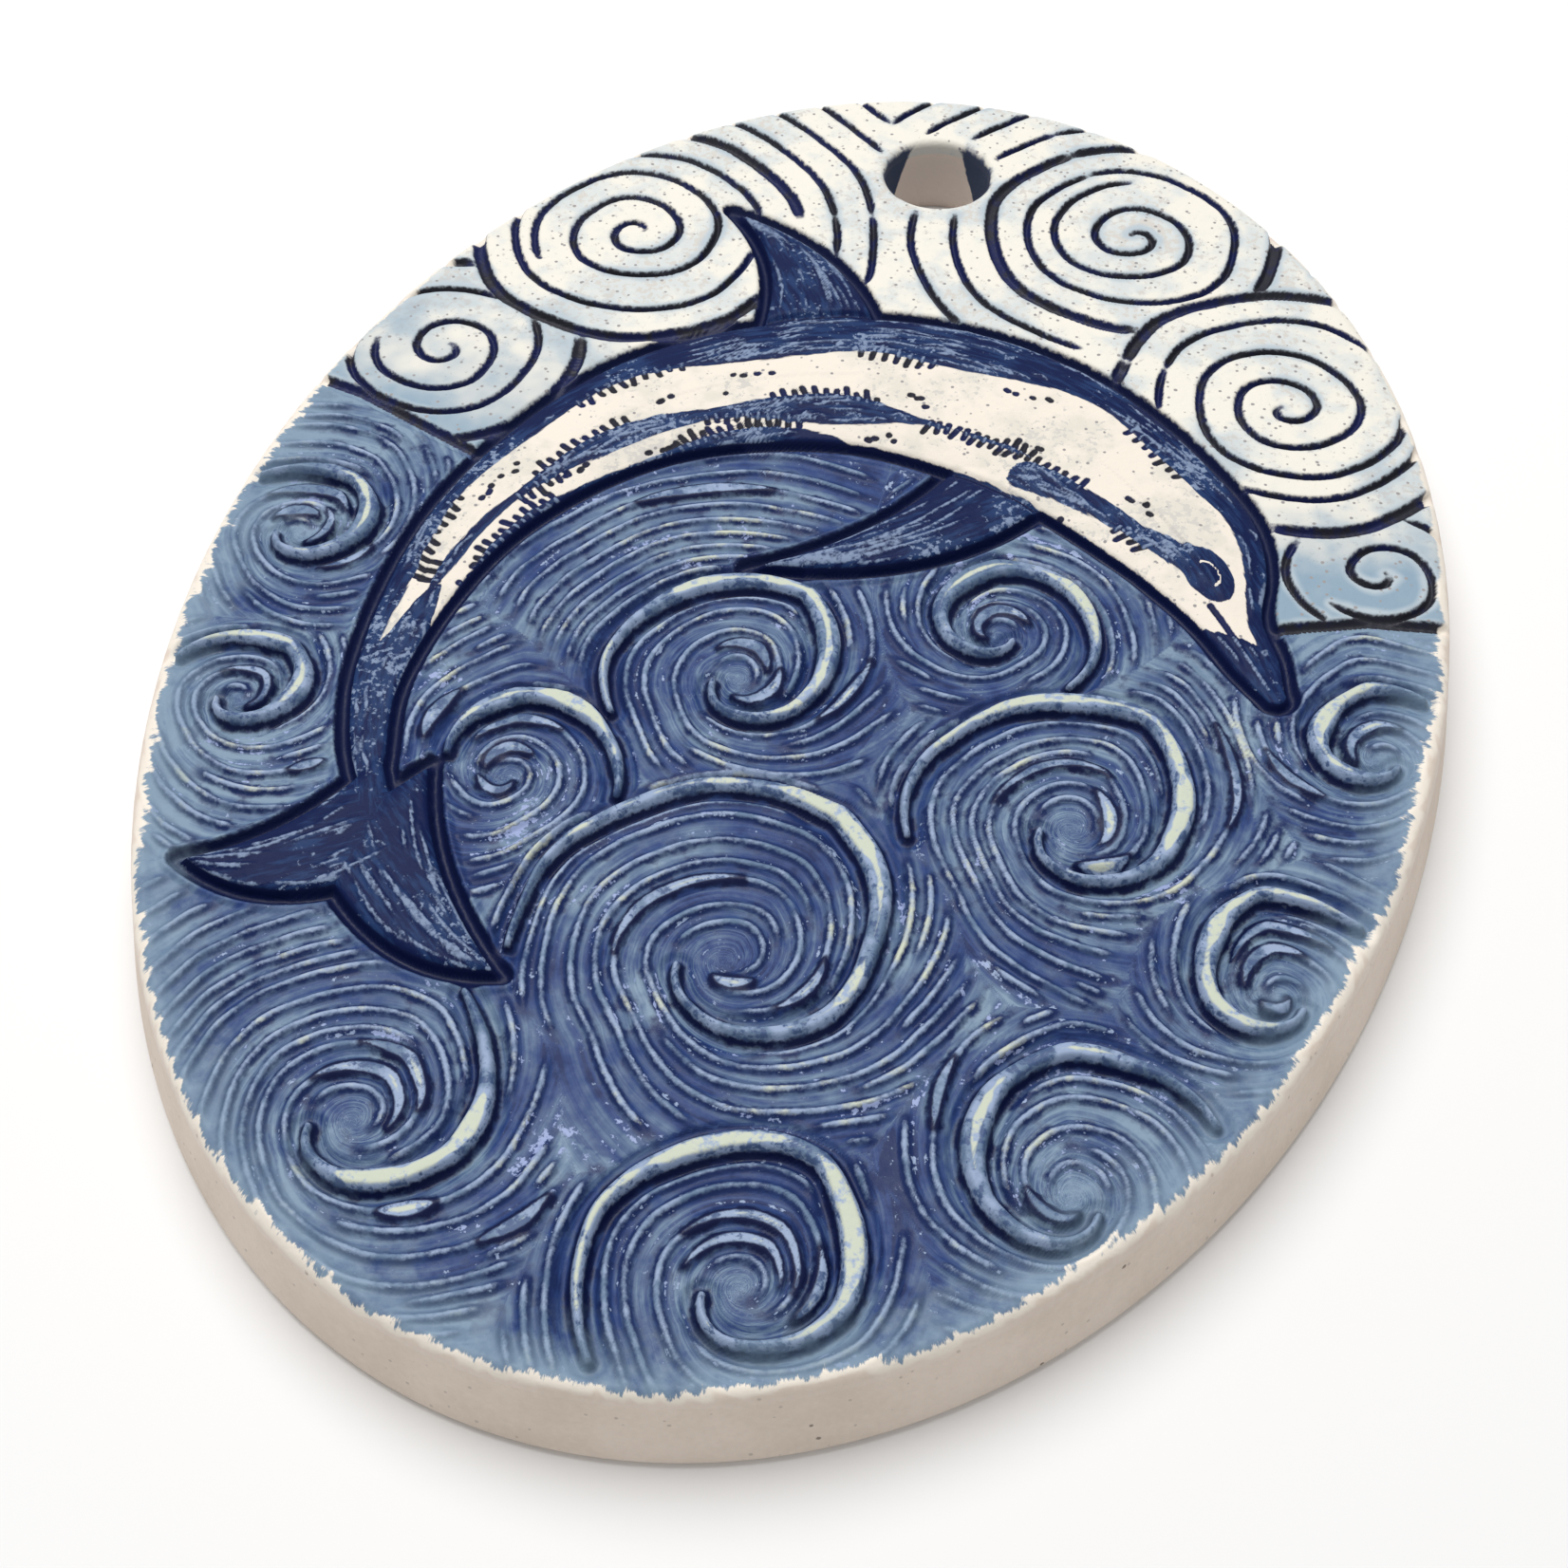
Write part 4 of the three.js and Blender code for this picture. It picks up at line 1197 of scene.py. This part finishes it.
def dolphin_form(body_out, side, share, fins_out):
    """Relief of the dolphin and of the cut outline round it: distance from the edge, and height"""
    crown = BODY_CROWN * np.minimum(1, 2 * half_width(share, side) / BODY_FULL_WIDTH)
    dome = crown * np.sqrt(1 - np.clip(np.abs(side), 0, 1) ** 2)
    height = np.where(body_out < 0, smoothstep(0, 0.3, -body_out) * (BODY_EDGE - GROOVE_BED) + dome, 0)
    outline = body_out
    for out in fins_out.values():
        rise = FIN_CROWN * np.sqrt(1 - (1 - np.clip(-out / 1.6, 0, 1)) ** 2)
        height = np.maximum(height, smoothstep(0, 0.3, -out) * (BODY_EDGE - GROOVE_BED) + rise * (out < 0))
        outline = np.minimum(outline, out)
    root = np.max([smoothstep(0, 0.4, -fins_out[name]) for name in ("dorsal_fin", "flipper")], axis=0)
    crease = (1 - smoothstep(0, 0.45, np.abs(body_out))) * root
    bed = GROOVE_BED * (1 - smoothstep(0.2, 0.7, outline))
    inner = np.minimum(-outline * 2.4, MOST - 8.6 * smoothstep(0.3, 0.9, crease))
    edge = np.where(outline < 0, inner, outline)
    return np.clip(edge, 0, MOST), np.where(outline < 0, GROOVE_BED + height - 0.3 * crease, bed)


def in_turn(angle):
    """Directions for the vertices of a loop, with small steps back evened out"""
    angle = np.unwrap(angle)
    hand = np.sign(angle[-1] - angle[0])
    start = int(np.diff(angle * hand).argmax()) + 1
    angle = np.unwrap(np.roll(angle, -start))
    return directions(np.roll(hand * np.sort(hand * angle), start))


def with_hole(points, facing, from_rim, way, quads):
    """Cuts the hanging hole out of the face and rolls a soft lip into it, down to the slab"""
    near = from_hole(points[:, :2])
    quads = quads[(near > LIP_RADIUS + 0.05)[quads].all(1)]
    edges = np.concatenate([quads[:, [k, (k + 1) % 4]] for k in range(4)])
    known = {tuple(edge) for edge in edges[(near[edges] < LIP_RADIUS + 0.6).all(1)].tolist()}
    border = [edge for edge in known if (edge[1], edge[0]) not in known]
    follower = dict(border)
    loop = [border[0][0]]
    while follower[loop[-1]] != loop[0]:
        loop.append(follower[loop[-1]])
    ways = in_turn(np.arctan2(*(points[loop, :2] - HOLE).T[::-1]))
    turns = np.append(np.linspace(0, math.pi / 2, LIP_STEPS + 1)[1:], math.pi / 2)
    index = {vertex: i for i, vertex in enumerate(loop)}
    count, total = len(loop), len(points)
    points = points.copy()
    points[loop, :2] = HOLE + ways * LIP_RADIUS
    points[loop, 2] = FACE_LEVEL
    extra, normals, faces = [], [], quads.tolist()
    for k, turn in enumerate(turns):
        down = HOLE_LIP * (1 - math.cos(turn)) if k < LIP_STEPS else FACE_LEVEL - SLAB_TOP
        ring = HOLE + ways * (LIP_RADIUS - HOLE_LIP * math.sin(turn))
        extra.append(np.column_stack([ring, np.full(count, FACE_LEVEL - down)]))
        normals.append(np.column_stack([-ways * math.sin(turn), np.full(count, math.cos(turn))]))
        for a, b in border:
            upper = [a, b] if k == 0 else [total + (k - 1) * count + index[i] for i in (a, b)]
            lower = [total + k * count + index[i] for i in (a, b)]
            faces.append([upper[1], upper[0], lower[0], lower[1]])
    rows = np.tile(loop, len(turns))
    return (np.vstack([points, *extra]), np.vstack([facing, *normals]),
            np.concatenate([from_rim, from_rim[rows]]), np.vstack([way, way[rows]]), faces)


# Pieces that the face is parted into, with the glaze that each takes and a material slot name that nothing
# reads. The crests follow them in number
ZONES = [
    ("sky_relief", "sky", "sky_glaze"),
    ("sea_relief", "sea", "sea_glaze"),
    ("dolphin_body", "dolphin", "dolphin_glaze"),
    ("dorsal_fin", "dolphin", "navy_glaze"),
    ("flipper", "dolphin", "navy_glaze"),
    ("tail_flukes", "dolphin", "navy_glaze"),
]
VECTOR_LAYERS = ("along", "rim_place", "swirl")
KEPT_LAYERS = (*PRESSED, "edge", "paint", "tone", "land", "bore", "zone", *VECTOR_LAYERS)


def fetch(items, field, kind=np.float32, wide=1):
    """Numbers of a mesh's vertices, loops or layers, by rows where each has several"""
    values = np.empty(len(items) * wide, kind)
    items.foreach_get(field, values)
    return values.reshape(-1, wide) if wide > 1 else values


def read_layer(mesh, name):
    layer = mesh.attributes[name]
    if layer.data_type == "FLOAT_VECTOR":
        return fetch(layer.data, "vector", wide=3)
    return fetch(layer.data, "value")


def split_face(whole, paints):
    """Parts the pressed face into closed pieces, with the shading of the whole kept on each"""
    mesh = whole.data
    points = fetch(mesh.vertices, "co", wide=3)
    normals = fetch(mesh.vertex_normals, "vector", wide=3)
    faces = fetch(mesh.loops, "vertex_index", np.int32).reshape(-1, 4)
    points[points[:, 2] < (SLAB_TOP + 0.05) * MM, 2] = SLAB_TOP * MM
    layers = {name: read_layer(mesh, name) for name in KEPT_LAYERS}
    materials = {"sky": sky_glaze(paints), "sea": sea_glaze(paints), "dolphin": dolphin_glaze(paints)}
    face_zone = np.sort(layers.pop("zone")[faces], axis=1)[:, 1].astype(int)
    crests = [(f"wave_crest_{index + 1}", "sea", "crest_glaze") for index in range(len(WAVES))]
    for number, (name, kind, slot) in enumerate(ZONES + crests):
        mine = faces[face_zone == number]
        parts = math.ceil(len(mine) / QUADS_PER_PIECE)
        across = points[mine[:, 0], 0]
        bands = np.quantile(across, np.linspace(0, 1, parts + 1)[1:-1])
        across[from_hole(points[mine[:, 0], :2] / MM) < LIP_RADIUS + HOLE_LIP] = HOLE[0] * MM
        band = np.searchsorted(bands, across)
        for part in range(parts):
            used, local = np.unique(mine[band == part], return_inverse=True)
            label = f"{name}_piece" if parts == 1 else f"{name}_piece_{part + 1}"
            piece = mesh_object(label, points[used] / MM, local.reshape(-1, 4).tolist())
            for layer, values in layers.items():
                store(piece.data, layer, values[used])
            store(piece.data, "shading", normals[used])
            close_under(piece.data)
            piece.data.materials.append(materials[kind])
            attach(piece, "root")
            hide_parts(name)
    bpy.data.objects.remove(whole)


def face_order(face, pressed, count):
    """Number that puts the pressed faces first as they are, and the others in the order of their vertices"""
    if face.index < pressed:
        return face.index - pressed
    first, second, third = sorted(vert.index for vert in face.verts)[:3]
    return (first * count + second) * count + third


def close_under(mesh):
    """Gives a pressed sheet upright sides and a flat underside at the slab's top, and sets its shading"""
    pressed = len(mesh.polygons)
    shape = bmesh.new()
    shape.from_mesh(mesh)
    floor = SLAB_TOP * MM
    for vert in [vert for vert in shape.verts if sum(edge.is_boundary for edge in vert.link_edges) > 2]:
        bmesh.utils.vert_separate(vert, [edge for edge in vert.link_edges if edge.is_boundary])
    high = [edge for edge in shape.edges
            if edge.is_boundary and max(vert.co.z for vert in edge.verts) > floor + TOUCHING]
    for part in bmesh.ops.extrude_edge_only(shape, edges=high)["geom"]:
        if isinstance(part, bmesh.types.BMVert):
            part.co.z = floor
    low = [vert for vert in shape.verts if vert.is_boundary and vert.co.z < floor + TOUCHING]
    bmesh.ops.remove_doubles(shape, verts=low, dist=TOUCHING)
    shape.verts.index_update()
    shape.verts.ensure_lookup_table()
    border = sorted(sorted(vert.index for vert in edge.verts) for edge in shape.edges if edge.is_boundary)
    used, lines = np.unique(border, return_inverse=True)
    lines = lines.reshape(-1, 2)
    verts = [shape.verts[index] for index in used]
    plan = np.array([vert.co.xy for vert in verts]) / MM
    plan += FILL_BEND * plan[:, ::-1] ** 2
    filled = delaunay_2d_cdt(plan.tolist(), lines.tolist(), [], 0, 1e-7)
    triangles = np.array([[filled[3][corner][0] for corner in triangle] for triangle in filled[2]])
    kept = within(plan[lines[:, 0]], plan[lines[:, 1]], plan[triangles].mean(1))
    for corners in triangles[kept]:
        shape.faces.new([verts[corner] for corner in corners[::-1]])
    shape.faces.index_update()
    shape.faces.sort(key=lambda face: face_order(face, pressed, len(shape.verts)))
    shape.to_mesh(mesh)
    shape.free()
    corners = fetch(mesh.loops, "vertex_index", np.int32)
    shading = np.zeros((len(corners), 3))
    shading[:pressed * 4] = read_layer(mesh, "shading")[corners[:pressed * 4]]
    mesh.attributes.remove(mesh.attributes["shading"])
    mesh.polygons.foreach_set("use_smooth", np.arange(len(mesh.polygons)) < pressed)
    mesh.normals_split_custom_set(shading.tolist())


class MakeTablet(bpy.types.Operator):
    """Make the bare clay slab under the face, with its rolled foot and its hole"""

    bl_idname = "ornament.make_tablet"
    bl_label = "Make the tablet"

    def execute(self, context):
        points, quads = clay_body()
        slab = mesh_object("tablet_piece", points, quads.tolist())
        store(slab.data, "bore", bore_glaze(points))
        slab.data.polygons.foreach_set("use_smooth", np.ones(len(quads), bool))
        slab.data.set_sharp_from_angle(angle=math.radians(30))
        slab.data.materials.append(clay_material(chosen(context.scene.ornament_colours)))
        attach(slab, "root")
        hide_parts("tablet")
        return {"FINISHED"}


class SetStage(bpy.types.Operator):
    """Lay the white floor, light it softly and point the camera"""

    bl_idname = "ornament.set_stage"
    bl_label = "Set the stage"

    def execute(self, context):
        scene = context.scene
        corners = [(x * FLOOR_HALF, y * FLOOR_HALF, 0) for x, y in ((-1, -1), (1, -1), (1, 1), (-1, 1))]
        floor = mesh_object("floor", corners, [(0, 1, 2, 3)])
        white = bpy.data.materials.new("white floor")
        floor.data.materials.append(white)
        world = bpy.data.worlds.new("studio")
        scene.world = world
        for lit, shader, values in (
            (white, "Principled BSDF", {"Base Color": FLOOR_COLOUR, "Roughness": 0.9}),
            (world, "Background", {"Color": (1, 1, 1, 1), "Strength": WORLD_LIGHT}),
        ):
            lit.use_nodes = True
            for name, value in values.items():
                lit.node_tree.nodes[shader].inputs[name].default_value = value
        window = bpy.data.lights.new("window light", "AREA")
        window.shape = "DISK"
        window.size = LIGHT_SIZE
        window.energy = LIGHT_POWER
        camera = bpy.data.cameras.new("camera")
        camera.lens = CAMERA_LENS
        camera.sensor_width = 36
        camera.clip_start = 0.005
        for data, place, aim in ((window, LIGHT_AT, (0, 0, 0)), (camera, CAMERA_AT, CAMERA_AIM)):
            made = bpy.data.objects.new(data.name, data)
            scene.collection.objects.link(made)
            made.location = Vector(place) * MM
            made.rotation_euler = (Vector(aim) * MM - made.location).to_track_quat("-Z", "Y").to_euler()
        scene.camera = made
        scene.view_settings.view_transform = "Standard"
        return {"FINISHED"}


class OrnamentPanel(bpy.types.Panel):
    """Sizes and steps of the ornament"""

    bl_idname = "VIEW3D_PT_ornament"
    bl_label = "Ornament"
    bl_space_type = "VIEW_3D"
    bl_region_type = "UI"
    bl_category = "Ornament"

    def draw(self, context):
        for group in (context.scene.ornament_sizes, context.scene.ornament_colours):
            for name in group.__annotations__:
                self.layout.prop(group, name)
        for operator in (MakeTablet, PressFace, SetStage):
            self.layout.operator(operator.bl_idname)


CLASSES = (OrnamentSizes, OrnamentColours, MakeTablet, PressFace, SetStage, OrnamentPanel)


def register():
    for made in CLASSES:
        bpy.utils.register_class(made)
    bpy.types.Scene.ornament_sizes = bpy.props.PointerProperty(type=OrnamentSizes)
    bpy.types.Scene.ornament_colours = bpy.props.PointerProperty(type=OrnamentColours)


def unregister():
    del bpy.types.Scene.ornament_sizes
    del bpy.types.Scene.ornament_colours
    for made in reversed(CLASSES):
        bpy.utils.unregister_class(made)


def main():
    register()
    bpy.ops.ornament.make_tablet()
    bpy.ops.ornament.press_face()
    bpy.ops.ornament.set_stage()


if __name__ == "__main__":
    main()
